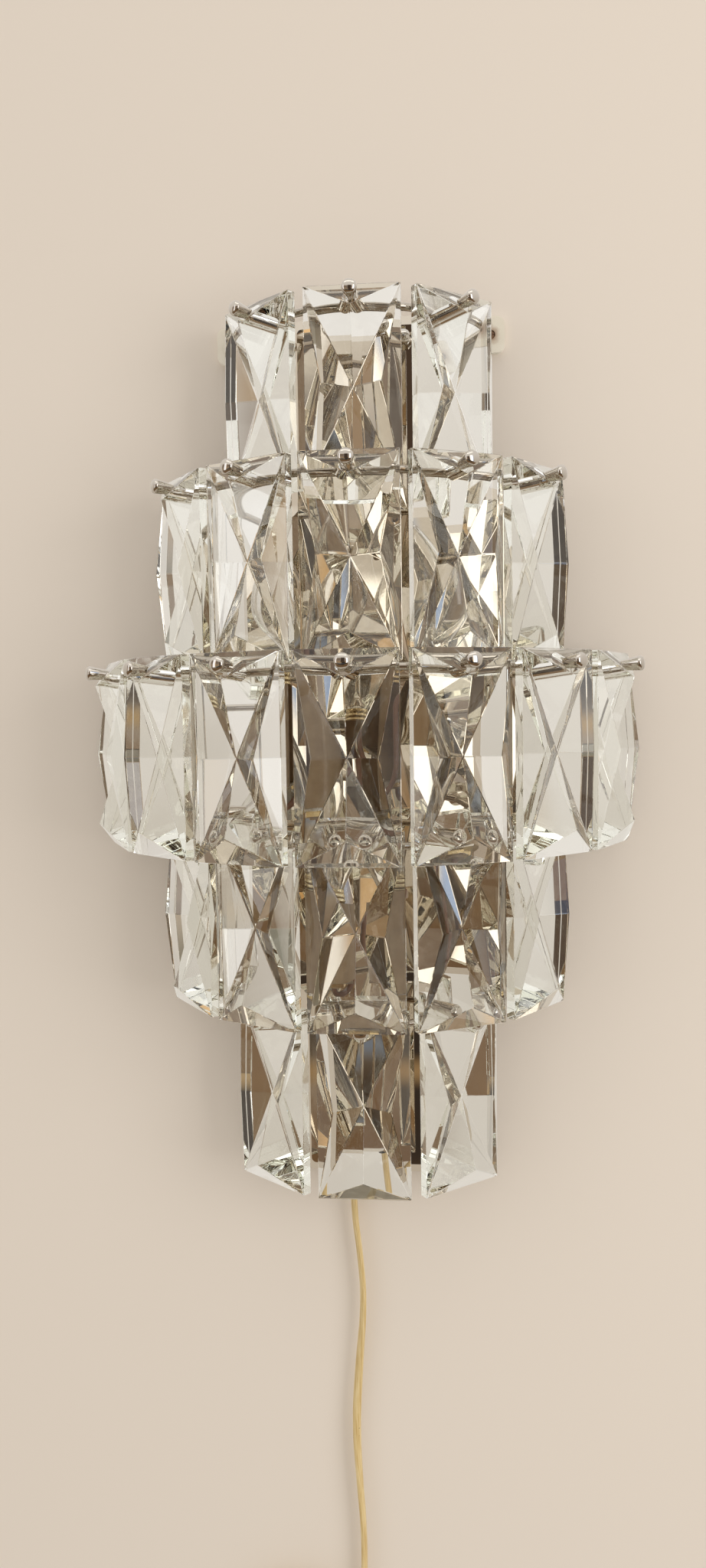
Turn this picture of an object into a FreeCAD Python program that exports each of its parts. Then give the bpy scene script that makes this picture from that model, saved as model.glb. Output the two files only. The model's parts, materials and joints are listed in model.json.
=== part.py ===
import FreeCAD, Part
import math
import os
import re

import Sketcher
from FreeCAD import Placement, Rotation, Vector

# A wall light with five tiers of cut crystal slabs. Each slab hangs by one hole from
# a pin, the pins stand on five bent rods, and the rods end on a mirror plate that two
# dome nuts hold to a flat bar on the wall.
# Millimetres. The wall is the plane y = 0, the light stands off it towards -y, and
# the origin is midway between the bar's two wall screws.

doc = FreeCAD.newDocument("CrystalSconce")

SIZES = [
    # Crystal slab: a flat rim all round, and a star of facets whose middle lies low.
    ("crystal_width", 50.0),
    ("crystal_height", 102.0),
    ("rim_thickness", 5.0),
    ("end_peak_rise", 11.5),
    ("end_peak_inset", 13.6),
    ("side_peak_rise", 9.3),
    ("side_peak_inset", 9.5),
    ("star_dip", 0.6),
    ("hole_diameter", 8.2),
    ("hole_drop", 8.9),
    # Rods, in plan arcs about one upright axis that lies behind the wall's face.
    ("ring_axis_depth", 33.0),
    ("rod_diameter", 4.0),
    ("rod_bend", 5.0),
    ("ring_radius_small", 76.4),
    ("ring_step_middle", 32.9),
    ("ring_step_large", 32.2),
    ("ring_level_first", 4.1),
    ("drop_to_second", 89.9),
    ("drop_to_third", 97.6),
    ("drop_to_fourth", 88.8),
    ("drop_to_fifth", 100.1),
    ("leg_turn", 55.5),
    ("slab_gap_small", 5.3),
    ("slab_gap_middle", 3.7),
    ("slab_gap_large", 4.1),
    # Hanging pins, which lean up towards their tips.
    ("pin_lean", 5.0),
    ("pin_root_diameter", 3.8),
    ("pin_head_diameter", 7.8),
    ("pin_neck_length", 6.8),
    ("pin_cone_length", 15.2),
    ("pin_dome_height", 1.7),
    ("pin_clearance", 0.05),
    ("back_clearance", 0.3),
    # Mirror plate: a cross in outline, with a sloped edge and a short return. Its ends
    # lie a little over or under the rods that stand on it.
    ("plate_front", 16.0),
    ("plate_sheet", 1.2),
    ("plate_slope", 7.0),
    ("plate_corner", 10.0),
    ("plate_inner_corner", 2.0),
    ("narrow_width", 80.0),
    ("rise_over_first", 5.9),
    ("drop_under_fifth", 95.2),
    ("wide_below_second", 5.7),
    ("wide_above_fifth", 6.8),
    # Wall bar, its screws and the studs of the plate.
    ("bar_length", 159.0),
    ("bar_height", 19.4),
    ("bar_thickness", 3.0),
    ("bar_corner", 4.0),
    ("screw_inset", 7.5),
    ("screw_hole_diameter", 5.0),
    ("stud_spacing", 50.0),
    ("stud_drop", 5.0),
    ("stud_diameter", 5.0),
    ("stud_length", 19.0),
    ("stud_clearance", 0.05),
    ("stud_hole_diameter", 5.6),
    ("nut_across", 8.0),
    ("nut_base_height", 4.0),
    ("nut_dome_diameter", 7.6),
    ("nut_height", 9.5),
    # Lamps: arm, holder and candle bulb. The lead passes the plate beside each.
    ("lamp_turn", 34.4),
    ("lamp_room", 5.6),
    ("lamp_side_rise", 28.2),
    ("lamp_centre_rise", 18.3),
    ("arm_sheet", 1.5),
    ("arm_width", 18.0),
    ("arm_reach_past", 9.0),
    ("arm_tab", 20.0),
    ("holder_diameter", 24.0),
    ("holder_length", 55.0),
    ("holder_bore_depth", 16.0),
    ("nipple_diameter", 10.0),
    ("nipple_length", 6.0),
    ("nipple_clearance", 0.05),
    ("lead_bore_diameter", 3.4),
    ("lead_bore_depth", 4.0),
    ("holder_nut_across", 14.0),
    ("holder_nut_height", 3.0),
    ("cap_diameter", 13.8),
    ("cap_length", 24.0),
    ("cap_clearance", 0.1),
    ("contact_diameter", 6.0),
    ("contact_height", 2.0),
    ("bulb_diameter", 35.0),
    ("bulb_length", 75.0),
    ("bulb_neck_diameter", 12.6),
    ("bulb_belly_height", 28.5),
    ("bulb_tip_radius", 4.5),
    ("bulb_tip_turn", 32.0),
    ("bulb_wall", 1.0),
    ("lead_diameter", 3.2),
    ("lead_hole_diameter", 8.0),
    ("lead_side_step", 20.0),
    ("lead_rise", 48.0),
    ("lead_straight", 24.0),
    ("lead_fan_rise", 73.0),
    ("lead_fan_side", 6.0),
    ("lead_upright_run", 50.0),
    ("lead_loop_depth", 14.0),
    ("lead_loop_start", 2.0),
    ("lead_loop_drop", 6.5),
    # Wiring inside the plate, and the cord that hangs from it.
    ("block_length", 28.0),
    ("block_height", 16.0),
    ("block_depth", 9.0),
    ("block_above_foot", 33.5),
    ("block_well_diameter", 5.0),
    ("block_well_depth", 4.0),
    ("block_ways", 3.0),
    ("cord_diameter", 4.2),
    ("cord_side", -10.8),
    ("cord_depth", -5.2),
    ("cord_straight", 21.5),
    ("grommet_flange_diameter", 6.6),
    ("grommet_flange", 1.4),
    ("grommet_clearance", 0.05),
    ("grommet_neck_diameter", 5.6),
    ("notch_clearance", 0.1),
    # The cord's spare length, wound and tied, and its plug.
    ("coil_radius", 40.0),
    ("coil_pitch", 5.2),
    ("coil_turns", 7.0),
    ("coil_tail", 62.0),
    ("tie_sheet", 1.2),
    ("tie_width", 8.0),
    ("tie_clearance", 0.3),
    ("plug_width", 26.0),
    ("plug_waist", 12.0),
    ("plug_shoulder", 15.3),
    ("plug_length", 34.0),
    ("plug_thickness", 13.6),
    ("plug_edge", 2.5),
    ("prong_diameter", 4.0),
    ("prong_length", 19.0),
    ("prong_spacing", 18.6),
]

FOLLOWING = [
    # Sizes that other pieces share, worked out from those above.
    ("ring_radius_middle", "ring_radius_small + ring_step_middle"),
    ("ring_radius_large", "ring_radius_middle + ring_step_large"),
    ("ring_level_second", "ring_level_first - drop_to_second"),
    ("ring_level_third", "ring_level_second - drop_to_third"),
    ("ring_level_fourth", "ring_level_third - drop_to_fourth"),
    ("ring_level_fifth", "ring_level_fourth - drop_to_fifth"),
    ("leg_side", "(ring_radius_middle - rod_bend) * sin(leg_turn * 1 deg) + rod_bend"),
    ("wide_width", "2 * (leg_side + rod_diameter / 2 + plate_slope)"),
    ("narrow_top", "ring_level_first + rise_over_first"),
    ("narrow_bottom", "ring_level_fifth - drop_under_fifth"),
    ("wide_top", "ring_level_second - wide_below_second"),
    ("wide_bottom", "ring_level_fifth + wide_above_fifth"),
    ("screw_spacing", "bar_length - 2 * screw_inset"),
    ("slab_back", "rod_diameter / 2 + back_clearance"),
    ("lamp_reach", "ring_radius_middle + slab_back - lamp_room - bulb_diameter / 2"),
    ("lamp_side_spread", "lamp_reach * sin(lamp_turn * 1 deg)"),
    ("lamp_stand_off", "lamp_reach * cos(lamp_turn * 1 deg) - ring_axis_depth"),
    ("lamp_side_base", "ring_level_fourth + lamp_side_rise"),
    ("lamp_centre_base", "ring_level_fifth + lamp_centre_rise"),
    ("block_level", "narrow_bottom + block_above_foot"),
]

ALIASES = {alias for alias, _ in SIZES + FOLLOWING}

parts = []


def cell(formula):
    """A formula in plain aliases, turned into one that names the sheet."""

    def named(word):
        return "Sizes." + word.group() if word.group() in ALIASES else word.group()

    return re.sub("[a-z_]+", named, formula)


sheet = doc.addObject("Spreadsheet::Sheet", "Sizes")
for row, (alias, amount) in enumerate(SIZES + FOLLOWING, start=1):
    sheet.set("A%d" % row, alias)
    sheet.set("B%d" % row, "=" + amount if isinstance(amount, str) else str(amount))
    sheet.setAlias("B%d" % row, alias)
doc.recompute()


def size(alias):
    """The number in a named cell."""
    return float(sheet.get(alias))


def number(formula):
    """The value of such a formula."""
    return float(sheet.evalExpression(cell(formula)))


def sub_part(item, label):
    """Lists an object as a piece of its own, under the name of its file."""
    item.Label = label
    parts.append(item)
    return item


def shaped(label, shape, place=None):
    """A piece whose form is worked out here from the sheet."""
    item = doc.addObject("Part::Feature", label)
    item.Shape = shape
    if place is not None:
        item.Placement = place
    return sub_part(item, label)


def at(item, x="0", y="0", z="0"):
    """Places an object by three formulas."""
    for axis, formula in zip("xyz", (x, y, z)):
        item.setExpression("Placement.Base." + axis, cell(formula))
    return item


# Sketches and features


def new_body(label):
    return sub_part(doc.addObject("PartDesign::Body", label), label)


def new_sketch(body, role):
    """A sketch on one of the body's own origin planes."""
    drawing = body.newObject("Sketcher::SketchObject", body.Name + "_outline")
    plane = [item for item in body.Origin.OriginFeatures if item.Role == role][0]
    drawing.AttachmentSupport = (plane, [""])
    drawing.MapMode = "FlatFace"
    return drawing


def pin_down(drawing, index, end, x, y):
    """Ties one sketch point to two formulas, or to an axis where a formula is 0."""
    for kind, axis_line, formula in (("DistanceX", -2, x), ("DistanceY", -1, y)):
        value = number(formula)
        if value == 0.0:
            drawing.addConstraint(Sketcher.Constraint("PointOnObject", index, end, axis_line))
        else:
            rule = Sketcher.Constraint(kind, -1, 1, index, end, value)
            place = drawing.addConstraint(rule)
            drawing.setExpression("Constraints[%d]" % place, cell(formula))


def corners(drawing, outline):
    """A closed outline of straight lines through (x formula, y formula) corners."""
    spots = [Vector(number(x), number(y), 0) for x, y in outline]
    first = drawing.GeometryCount
    for index, spot in enumerate(spots):
        nearby = spots[(index + 1) % len(spots)]
        drawing.addGeometry(Part.LineSegment(spot, nearby), False)
    for index in range(len(spots)):
        following = first + (index + 1) % len(spots)
        rule = Sketcher.Constraint("Coincident", first + index, 2, following, 1)
        drawing.addConstraint(rule)
    for index, (x, y) in enumerate(outline):
        pin_down(drawing, first + index, 1, x, y)
    return drawing


def circle(drawing, x, y, diameter):
    """A circle by formulas for its centre and diameter."""
    middle = Vector(number(x), number(y), 0)
    upright = Vector(0, 0, 1)
    index = drawing.addGeometry(Part.Circle(middle, upright, number(diameter) / 2), False)
    pin_down(drawing, index, 3, x, y)
    rule = Sketcher.Constraint("Diameter", index, number(diameter))
    place = drawing.addConstraint(rule)
    drawing.setExpression("Constraints[%d]" % place, cell(diameter))
    return drawing


def pad(body, drawing, length, both_ways=False):
    feature = body.newObject("PartDesign::Pad", body.Name + "_pad")
    feature.Profile = drawing
    feature.setExpression("Length", cell(length))
    feature.Midplane = both_ways
    drawing.Visibility = False
    doc.recompute()
    return feature


def cut_through(body, drawing, both_ways=True):
    """A pocket right through, which must take material away."""
    before = body.Shape.Volume
    feature = body.newObject("PartDesign::Pocket", body.Name + "_pocket")
    feature.Profile = drawing
    feature.Type = "ThroughAll"
    feature.Midplane = both_ways
    doc.recompute()
    if not body.Shape.Volume < before:
        raise ValueError("a pocket of %s cuts nothing" % body.Label)
    return feature


def turn(body, drawing):
    """A full turn of a profile about the upright axis of its sketch."""
    feature = body.newObject("PartDesign::Revolution", body.Name + "_turn")
    feature.Profile = drawing
    feature.ReferenceAxis = (drawing, ["V_Axis"])
    feature.Angle = 360.0
    doc.recompute()
    return feature


def edges_where(shape, wanted):
    """The names of the edges that a test picks."""
    return ["Edge%d" % n for n, edge in enumerate(shape.Edges, start=1) if wanted(edge)]


def runs_along(edge, direction):
    """Whether an edge is straight and lies along a direction."""
    if not isinstance(edge.Curve, Part.Line):
        return False
    return abs(abs(edge.Curve.Direction.dot(direction)) - 1) < 1e-6


def round_edges(body, wanted, radius):
    base = body.Tip
    feature = body.newObject("PartDesign::Fillet", body.Name + "_round")
    feature.Base = (base, edges_where(base.Shape, wanted))
    feature.setExpression("Radius", cell(radius))
    doc.recompute()
    return feature


def slope_edges(body, wanted, width):
    base = body.Tip
    feature = body.newObject("PartDesign::Chamfer", body.Name + "_slope")
    feature.Base = (base, edges_where(base.Shape, wanted))
    feature.setExpression("Size", cell(width))
    doc.recompute()
    return feature


# Wires and tubes


def arc_in_corner(start, corner, end):
    """The arc that touches two equal legs at their far ends, or a line if they are in line."""
    ahead = (corner - start).normalize()
    beyond = (end - corner).normalize()
    half_turn = ahead.getAngle(beyond) / 2
    if half_turn < 1e-5:
        return Part.LineSegment(start, end).toShape()
    leg = (corner - start).Length
    radius = leg / math.tan(half_turn)
    middle = (start + end) / 2
    inward = (middle - corner).normalize()
    crown = corner + inward * (radius / math.cos(half_turn) - radius)
    return Part.Arc(start, crown, end).toShape()


def tube_along(edges, diameter):
    """A round solid along a chain of edges that run on into each other."""
    path = Part.Wire(edges)
    first = edges[0]
    start = first.valueAt(first.FirstParameter)
    heading = first.tangentAt(first.FirstParameter)
    if (start - path.OrderedVertexes[0].Point).Length > 1e-6:
        raise ValueError("the path runs from its other end")
    section = Part.Wire(Part.Circle(start, heading, diameter / 2).toShape())
    return path.makePipeShell([section], True, False)


def bent_path(points):
    """Straight runs joined by arcs, each as large as 0.45 of its shorter run allows."""
    share = 0.45
    edges = []
    radii = []
    reached = points[0]
    for before, corner, after in zip(points, points[1:], points[2:]):
        arriving = (corner - before).normalize()
        leaving = (after - corner).normalize()
        leg = share * min((corner - before).Length, (after - corner).Length)
        radii.append(leg / math.tan(arriving.getAngle(leaving) / 2))
        arc_start = corner - arriving * leg
        arc_end = corner + leaving * leg
        edges.append(Part.LineSegment(reached, arc_start).toShape())
        edges.append(arc_in_corner(arc_start, corner, arc_end))
        reached = arc_end
    edges.append(Part.LineSegment(reached, points[-1]).toShape())
    return edges, radii


def two_arcs(start, heading, end, arriving):
    """Two arcs from one point and heading to another, meeting without a kink."""
    span = end - start
    both = heading + arriving
    squared = both.dot(both) - 4
    mixed = -2 * span.dot(both)
    if abs(squared) < 1e-9:
        leg = -span.dot(span) / mixed
    else:
        root = math.sqrt(mixed * mixed - 4 * squared * span.dot(span))
        leg = (-mixed - root) / (2 * squared)
    first_corner = start + heading * leg
    second_corner = end - arriving * leg
    meeting = (first_corner + second_corner) / 2
    return [
        arc_in_corner(start, first_corner, meeting),
        arc_in_corner(meeting, second_corner, end),
    ]


# Mirror plate


def plate_outline(inset):
    """The cross, corner by corner from the top left round to the right, drawn in."""
    narrow = "(narrow_width / 2 - %s)" % inset
    wide = "(wide_width / 2 - %s)" % inset
    right = [
        (narrow, "narrow_top - " + inset),
        (narrow, "wide_top - " + inset),
        (wide, "wide_top - " + inset),
        (wide, "wide_bottom + " + inset),
        (narrow, "wide_bottom + " + inset),
        (narrow, "narrow_bottom + " + inset),
    ]
    left = [("- " + x, z) for x, z in reversed(right)]
    return right + left


def is_inner_corner(edge, inset):
    """Whether an edge that runs to the wall stands where the cross steps in."""
    spot = edge.CenterOfMass
    steps = (size("wide_top") - inset, size("wide_bottom") + inset)
    on_narrow = abs(abs(spot.x) - size("narrow_width") / 2 + inset) < 1e-6
    return on_narrow and min(abs(spot.z - level) for level in steps) < 1e-6


def form_plate(body, inset, depth, slope):
    """The cross drawn in by an inset, with rounded corners and a sloped front edge."""
    pad(body, corners(new_sketch(body, "XZ_Plane"), plate_outline(inset)), depth)
    outward = Vector(0, 1, 0)
    drawn_in = number(inset)
    round_edges(
        body,
        lambda edge: runs_along(edge, outward) and not is_inner_corner(edge, drawn_in),
        "plate_corner - " + inset,
    )
    round_edges(
        body,
        lambda edge: runs_along(edge, outward) and is_inner_corner(edge, drawn_in),
        "plate_inner_corner + " + inset,
    )
    front = -number(depth)
    slope_edges(
        body,
        lambda edge: abs(edge.BoundBox.YMin - front) < 1e-6 and edge.BoundBox.YLength < 1e-6,
        slope,
    )


def make_back_plate():
    """The cross, less a smaller one behind it that leaves an even wall."""
    body = new_body("back_plate")
    at(body, y="- bar_thickness")
    depth = "plate_front - bar_thickness"
    form_plate(body, "0", depth, "plate_slope")
    full = body.Tip.Shape.copy()
    full.Placement = body.Placement.multiply(full.Placement)
    hollow = doc.addObject("PartDesign::Body", "plate_hollow")
    inner_slope = "plate_slope - plate_sheet * (2 - sqrt(2))"
    form_plate(hollow, "plate_sheet", depth + " - plate_sheet", inner_slope)
    emptied = body.newObject("PartDesign::Boolean", "back_plate_emptied")
    emptied.Type = "Cut"
    emptied.setObjects([hollow])
    body.Tip = emptied
    doc.recompute()
    holes = new_sketch(body, "XZ_Plane")
    for side in ("", "- "):
        circle(holes, side + "stud_spacing / 2", "- stud_drop", "stud_hole_diameter")
    for _, side, base_level in LAMPS:
        circle(
            holes,
            lead_hole_side(side),
            base_level + " + lead_rise",
            "lead_hole_diameter",
        )
    cut_through(body, holes)
    notch = new_sketch(body, "XY_Plane")
    half = "(grommet_neck_diameter / 2 + notch_clearance)"
    inner = "cord_depth + bar_thickness - grommet_neck_diameter / 2 - notch_clearance"
    corners(
        notch,
        [
            ("cord_side - " + half, inner),
            ("cord_side + " + half, inner),
            ("cord_side + " + half, "bar_thickness"),
            ("cord_side - " + half, "bar_thickness"),
        ],
    )
    cut_through(body, notch, both_ways=False)
    return body, full


# Wall bar, studs and dome nuts


def make_wall_bar():
    body = new_body("wall_bar")
    half_length = "bar_length / 2"
    half_height = "bar_height / 2"
    outline = corners(
        new_sketch(body, "XZ_Plane"),
        [
            (half_length, half_height),
            (half_length, "- " + half_height),
            ("- " + half_length, "- " + half_height),
            ("- " + half_length, half_height),
        ],
    )
    pad(body, outline, "bar_thickness")
    outward = Vector(0, 1, 0)
    round_edges(body, lambda edge: runs_along(edge, outward), "bar_corner")
    holes = new_sketch(body, "XZ_Plane")
    for side in ("", "- "):
        circle(holes, side + "screw_spacing / 2", "0", "screw_hole_diameter")
    cut_through(body, holes)
    return body


def facing_out(item, x, y, z):
    """Turns a piece that was made upright so that its top faces the room."""
    at(item, x, y, z)
    item.Placement.Rotation = Rotation(Vector(1, 0, 0), 90)
    return item


def make_studs():
    """Two threaded studs that are welded to the front of the bar."""
    studs = []
    for side in ("", "- "):
        stud = doc.addObject("Part::Cylinder", "stud_bar")
        stud.setExpression("Radius", cell("stud_diameter / 2"))
        stud.setExpression("Height", cell("stud_length"))
        facing_out(stud, side + "stud_spacing / 2", "- bar_thickness", "- stud_drop")
        studs.append(stud)
    group = doc.addObject("Part::Compound", "plate_studs")
    group.Links = studs
    return sub_part(group, "plate_studs")


def make_dome_nuts():
    """A hexagon and a dome over a blind hole, once on each stud."""
    nuts = []
    for side in ("", "- "):
        hexagon = doc.addObject("Part::Prism", "nut_hexagon")
        hexagon.Polygon = 6
        hexagon.setExpression("Circumradius", cell("nut_across / (2 * cos(30 deg))"))
        hexagon.setExpression("Height", cell("nut_base_height"))
        dome = doc.addObject("Part::Sphere", "nut_dome")
        dome.setExpression("Radius", cell("nut_dome_diameter / 2"))
        at(dome, z="nut_height - nut_dome_diameter / 2")
        neck = doc.addObject("Part::Cylinder", "nut_neck")
        neck.setExpression("Radius", cell("nut_dome_diameter / 2"))
        neck.setExpression("Height", cell("nut_height - nut_dome_diameter / 2"))
        joined = doc.addObject("Part::MultiFuse", "nut_body")
        joined.Shapes = [hexagon, neck, dome]
        bore = doc.addObject("Part::Cylinder", "nut_bore")
        bore.setExpression("Radius", cell("stud_diameter / 2 + stud_clearance"))
        reach = "stud_length + bar_thickness - plate_front + stud_clearance"
        bore.setExpression("Height", cell(reach))
        nut = doc.addObject("Part::Cut", "dome_nut")
        nut.Base = joined
        nut.Tool = bore
        facing_out(nut, side + "stud_spacing / 2", "- plate_front", "- stud_drop")
        nuts.append(nut)
    group = doc.addObject("Part::Compound", "dome_nuts")
    group.Links = nuts
    return sub_part(group, "dome_nuts")


# Rods, pins and crystals


def ring_point(radius, azimuth, level=0.0):
    """A point at a radius from the upright axis; azimuth 0 faces the room."""
    y = size("ring_axis_depth") - radius * math.cos(azimuth)
    return Vector(radius * math.sin(azimuth), y, level)


def on_circle(middle, radius, angle):
    """A point of a circle in plan; angle 0 points to the right."""
    return middle + Vector(math.cos(angle), math.sin(angle), 0) * radius


def rod_leg(radius, level, style):
    """The right end of a rod, as stretches of 2 points for a run and 3 for an arc.

    Its bend turns it to the wall, or on round to the middle. On the face it stops at
    the plate's flat, on the slope or the return it comes in from the side, and over
    the plate's upper edge it bends down once more.
    """
    bend = size("rod_bend")
    rod = size("rod_diameter") / 2
    inner = radius - bend
    slope_front = size("plate_front") - size("plate_slope")
    return_depth = (slope_front + size("bar_thickness")) / 2
    flat_edge = size("wide_width") / 2 - size("plate_slope")
    to_wall = style in ("face", "over")
    if to_wall:
        azimuth = math.radians(size("leg_turn"))
    else:
        slope_depth = size("plate_front") - size("plate_slope") / 2
        leg_depth = slope_depth if style == "slope" else return_depth
        azimuth = math.acos((size("ring_axis_depth") + leg_depth + bend) / inner)
    start_angle = azimuth - math.pi / 2
    stop_angle = 0.0 if to_wall else math.pi / 2
    middle = ring_point(inner, azimuth)
    leg_start = on_circle(middle, bend, stop_angle)
    stretches = [
        [
            ring_point(radius, azimuth),
            on_circle(middle, bend, (start_angle + stop_angle) / 2),
            leg_start,
        ]
    ]
    if style == "over":
        reach = -return_depth
        drop_middle = Vector(leg_start.x, reach - bend, -bend)
        diagonal = Vector(0, math.sin(math.pi / 4), math.sin(math.pi / 4)) * bend
        drop_start = Vector(leg_start.x, reach - bend, 0)
        drop_end = Vector(leg_start.x, reach, -bend)
        stretches.append([leg_start, drop_start])
        stretches.append([drop_start, drop_middle + diagonal, drop_end])
        stretches.append([drop_end, Vector(leg_start.x, reach, size("wide_top") - level - rod)])
    elif style == "face":
        stretches.append([leg_start, Vector(leg_start.x, rod - size("plate_front"), 0)])
    elif style == "slope":
        stretches.append([leg_start, Vector(flat_edge, leg_start.y, 0)])
    else:
        stretches.append([leg_start, Vector(size("narrow_width") / 2 - rod, leg_start.y, 0)])
    return stretches


def make_ring(label, radius, level, style, plate):
    """A round rod bent in plan, its two legs cut to the plate that they are welded to."""
    right = rod_leg(radius, level, style)

    def other_side(point):
        return Vector(-point.x, point.y, point.z)

    left = [[other_side(point) for point in reversed(run)] for run in reversed(right)]
    arc_end = right[0][0]
    edges = []
    for run in left + [[other_side(arc_end), ring_point(radius, 0.0), arc_end]] + right:
        curve = Part.LineSegment(*run) if len(run) == 2 else Part.Arc(*run)
        edges.append(curve.toShape())
    rod = tube_along(edges, size("rod_diameter"))
    rod.translate(Vector(0, 0, level))
    near = 1.5 * size("rod_diameter")
    leg_end = right[-1][-1]
    for spot in (leg_end, other_side(leg_end)):
        corner = spot + Vector(-near, -near, level - near)
        weld = Part.makeBox(2 * near, 2 * near, 2 * near, corner)
        rod = rod.cut(plate.common(weld))
    return shaped(label, rod)


def slab_step(radius, gap):
    """The angle between neighbours whose back edges lie one gap apart."""
    back = radius + size("slab_back")
    half_width = size("crystal_width") / 2
    reach = math.hypot(back, half_width)
    return 2 * (math.atan2(half_width, back) + math.asin(gap / 2 / reach))


def pin_shape():
    """A pin along its own axis, from the rod's middle: neck, cone and domed end."""
    root = size("pin_root_diameter") / 2
    head = size("pin_head_diameter") / 2
    neck_end = size("pin_neck_length")
    cone_end = neck_end + size("pin_cone_length")
    tip = cone_end + size("pin_dome_height")
    sphere = (head ** 2 + size("pin_dome_height") ** 2) / (2 * size("pin_dome_height"))
    half_angle = math.asin(head / sphere) / 2
    dome_middle = Vector(
        sphere * math.sin(half_angle), 0, tip - sphere + sphere * math.cos(half_angle)
    )
    spots = [
        Vector(0, 0, 0),
        Vector(root, 0, 0),
        Vector(root, 0, neck_end),
        Vector(head, 0, cone_end),
    ]
    edges = [Part.LineSegment(a, b).toShape() for a, b in zip(spots, spots[1:])]
    edges.append(Part.Arc(spots[-1], dome_middle, Vector(0, 0, tip)).toShape())
    edges.append(Part.LineSegment(Vector(0, 0, tip), spots[0]).toShape())
    outline = Part.Face(Part.Wire(edges))
    return outline.revolve(Vector(0, 0, 0), Vector(0, 0, 1), 360)


def pin_upper_line(reach):
    """How high a pin's upper side is above the rod's middle, at a distance from it."""
    lean = math.radians(size("pin_lean"))

    def upper(along, radius):
        x = along * math.cos(lean) - radius * math.sin(lean)
        z = along * math.sin(lean) + radius * math.cos(lean)
        return x, z

    neck_end = size("pin_neck_length")
    x_one, z_one = upper(neck_end, size("pin_root_diameter") / 2)
    x_two, z_two = upper(neck_end + size("pin_cone_length"), size("pin_head_diameter") / 2)
    return z_one + (reach - x_one) * (z_two - z_one) / (x_two - x_one)


def crystal_top():
    """A crystal's top above its rod: its hole's roof rests on the pin's upper side."""
    roof_drop = size("hole_drop") - size("hole_diameter") / 2
    rise = size("end_peak_rise") * roof_drop / size("end_peak_inset")
    reach = size("slab_back") + size("rim_thickness") + rise
    return pin_upper_line(reach) + size("pin_clearance") + roof_drop


def crystal_shape():
    """The slab with its back to the rod: x along the tier, -y to the room, z up."""
    half = size("crystal_width") / 2
    top = crystal_top()
    foot = top - size("crystal_height")
    middle = (top + foot) / 2
    back = -size("slab_back")
    rim = back - size("rim_thickness")
    end_peak = rim - size("end_peak_rise")
    side_peak = rim - size("side_peak_rise")
    inset = size("end_peak_inset")
    side = half - size("side_peak_inset")
    rim_corners = [
        Vector(-half, rim, top),
        Vector(half, rim, top),
        Vector(half, rim, foot),
        Vector(-half, rim, foot),
    ]
    back_corners = [Vector(spot.x, back, spot.z) for spot in rim_corners]
    peaks = [
        Vector(0, end_peak, top - inset),
        Vector(side, side_peak, middle),
        Vector(0, end_peak, foot + inset),
        Vector(-side, side_peak, middle),
    ]
    centre = Vector(0, rim + size("star_dip"), middle)
    outlines = [back_corners]
    for index in range(4):
        after = (index + 1) % 4
        here, there = rim_corners[index], rim_corners[after]
        outlines.append([here, there, back_corners[after], back_corners[index]])
        outlines.append([here, there, peaks[index]])
        outlines.append([here, peaks[index], centre])
        outlines.append([there, peaks[index], centre])
    faces = [Part.Face(Part.makePolygon(spots + [spots[0]])) for spots in outlines]
    slab = Part.Solid(Part.Shell(faces))
    if slab.Volume < 0:
        slab.reverse()
    hole = Part.makeCylinder(
        size("hole_diameter") / 2,
        size("rim_thickness") + size("end_peak_rise") + 2 * size("rod_diameter"),
        Vector(0, back + size("rod_diameter"), top - size("hole_drop")),
        Vector(0, -1, 0),
    )
    return slab.cut(hole)


TIERS = [
    # Number of crystals, rod radius, level, gap between crystals, where the legs end.
    (3, "ring_radius_small", "ring_level_first", "slab_gap_small", "return"),
    (5, "ring_radius_middle", "ring_level_second", "slab_gap_middle", "over"),
    (7, "ring_radius_large", "ring_level_third", "slab_gap_large", "slope"),
    (5, "ring_radius_middle", "ring_level_fourth", "slab_gap_middle", "face"),
    (3, "ring_radius_small", "ring_level_fifth", "slab_gap_small", "return"),
]


def make_tiers(plate):
    """Five tiers: a rod, its pins and its crystals, left to right."""
    pin = pin_shape()
    pin.rotate(Vector(0, 0, 0), Vector(1, 0, 0), 90 - size("pin_lean"))
    crystal = crystal_shape()
    for tier, (count, radius_name, level_name, gap_name, style) in enumerate(TIERS, start=1):
        radius = size(radius_name)
        level = size(level_name)
        rod = make_ring("ring_%d" % tier, radius, level, style, plate)
        step = slab_step(radius, size(gap_name))
        pins = []
        for index in range(count):
            azimuth = (index - (count - 1) / 2) * step
            turned = Rotation(Vector(0, 0, 1), math.degrees(azimuth))
            place = Placement(ring_point(radius, azimuth, level), turned)
            shaped("crystal_%d_%d" % (tier, index + 1), crystal.copy(), place)
            copy = pin.copy()
            copy.Placement = place.multiply(copy.Placement)
            pins.append(copy.cut(rod.Shape))
        shaped("pins_%d" % tier, Part.makeCompound(pins))


# Lamps

LAMPS = [
    # Name, side and the level of the holder's foot.
    ("left", "- lamp_side_spread", "lamp_side_base"),
    ("centre", "0", "lamp_centre_base"),
    ("right", "lamp_side_spread", "lamp_side_base"),
]


def lead_hole_side(side):
    """The lead's hole lies beside its lamp, nearer to the middle for the outer lamps."""
    if side == "lamp_side_spread":
        return side + " - lead_side_step"
    return side + " + lead_side_step"


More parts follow.
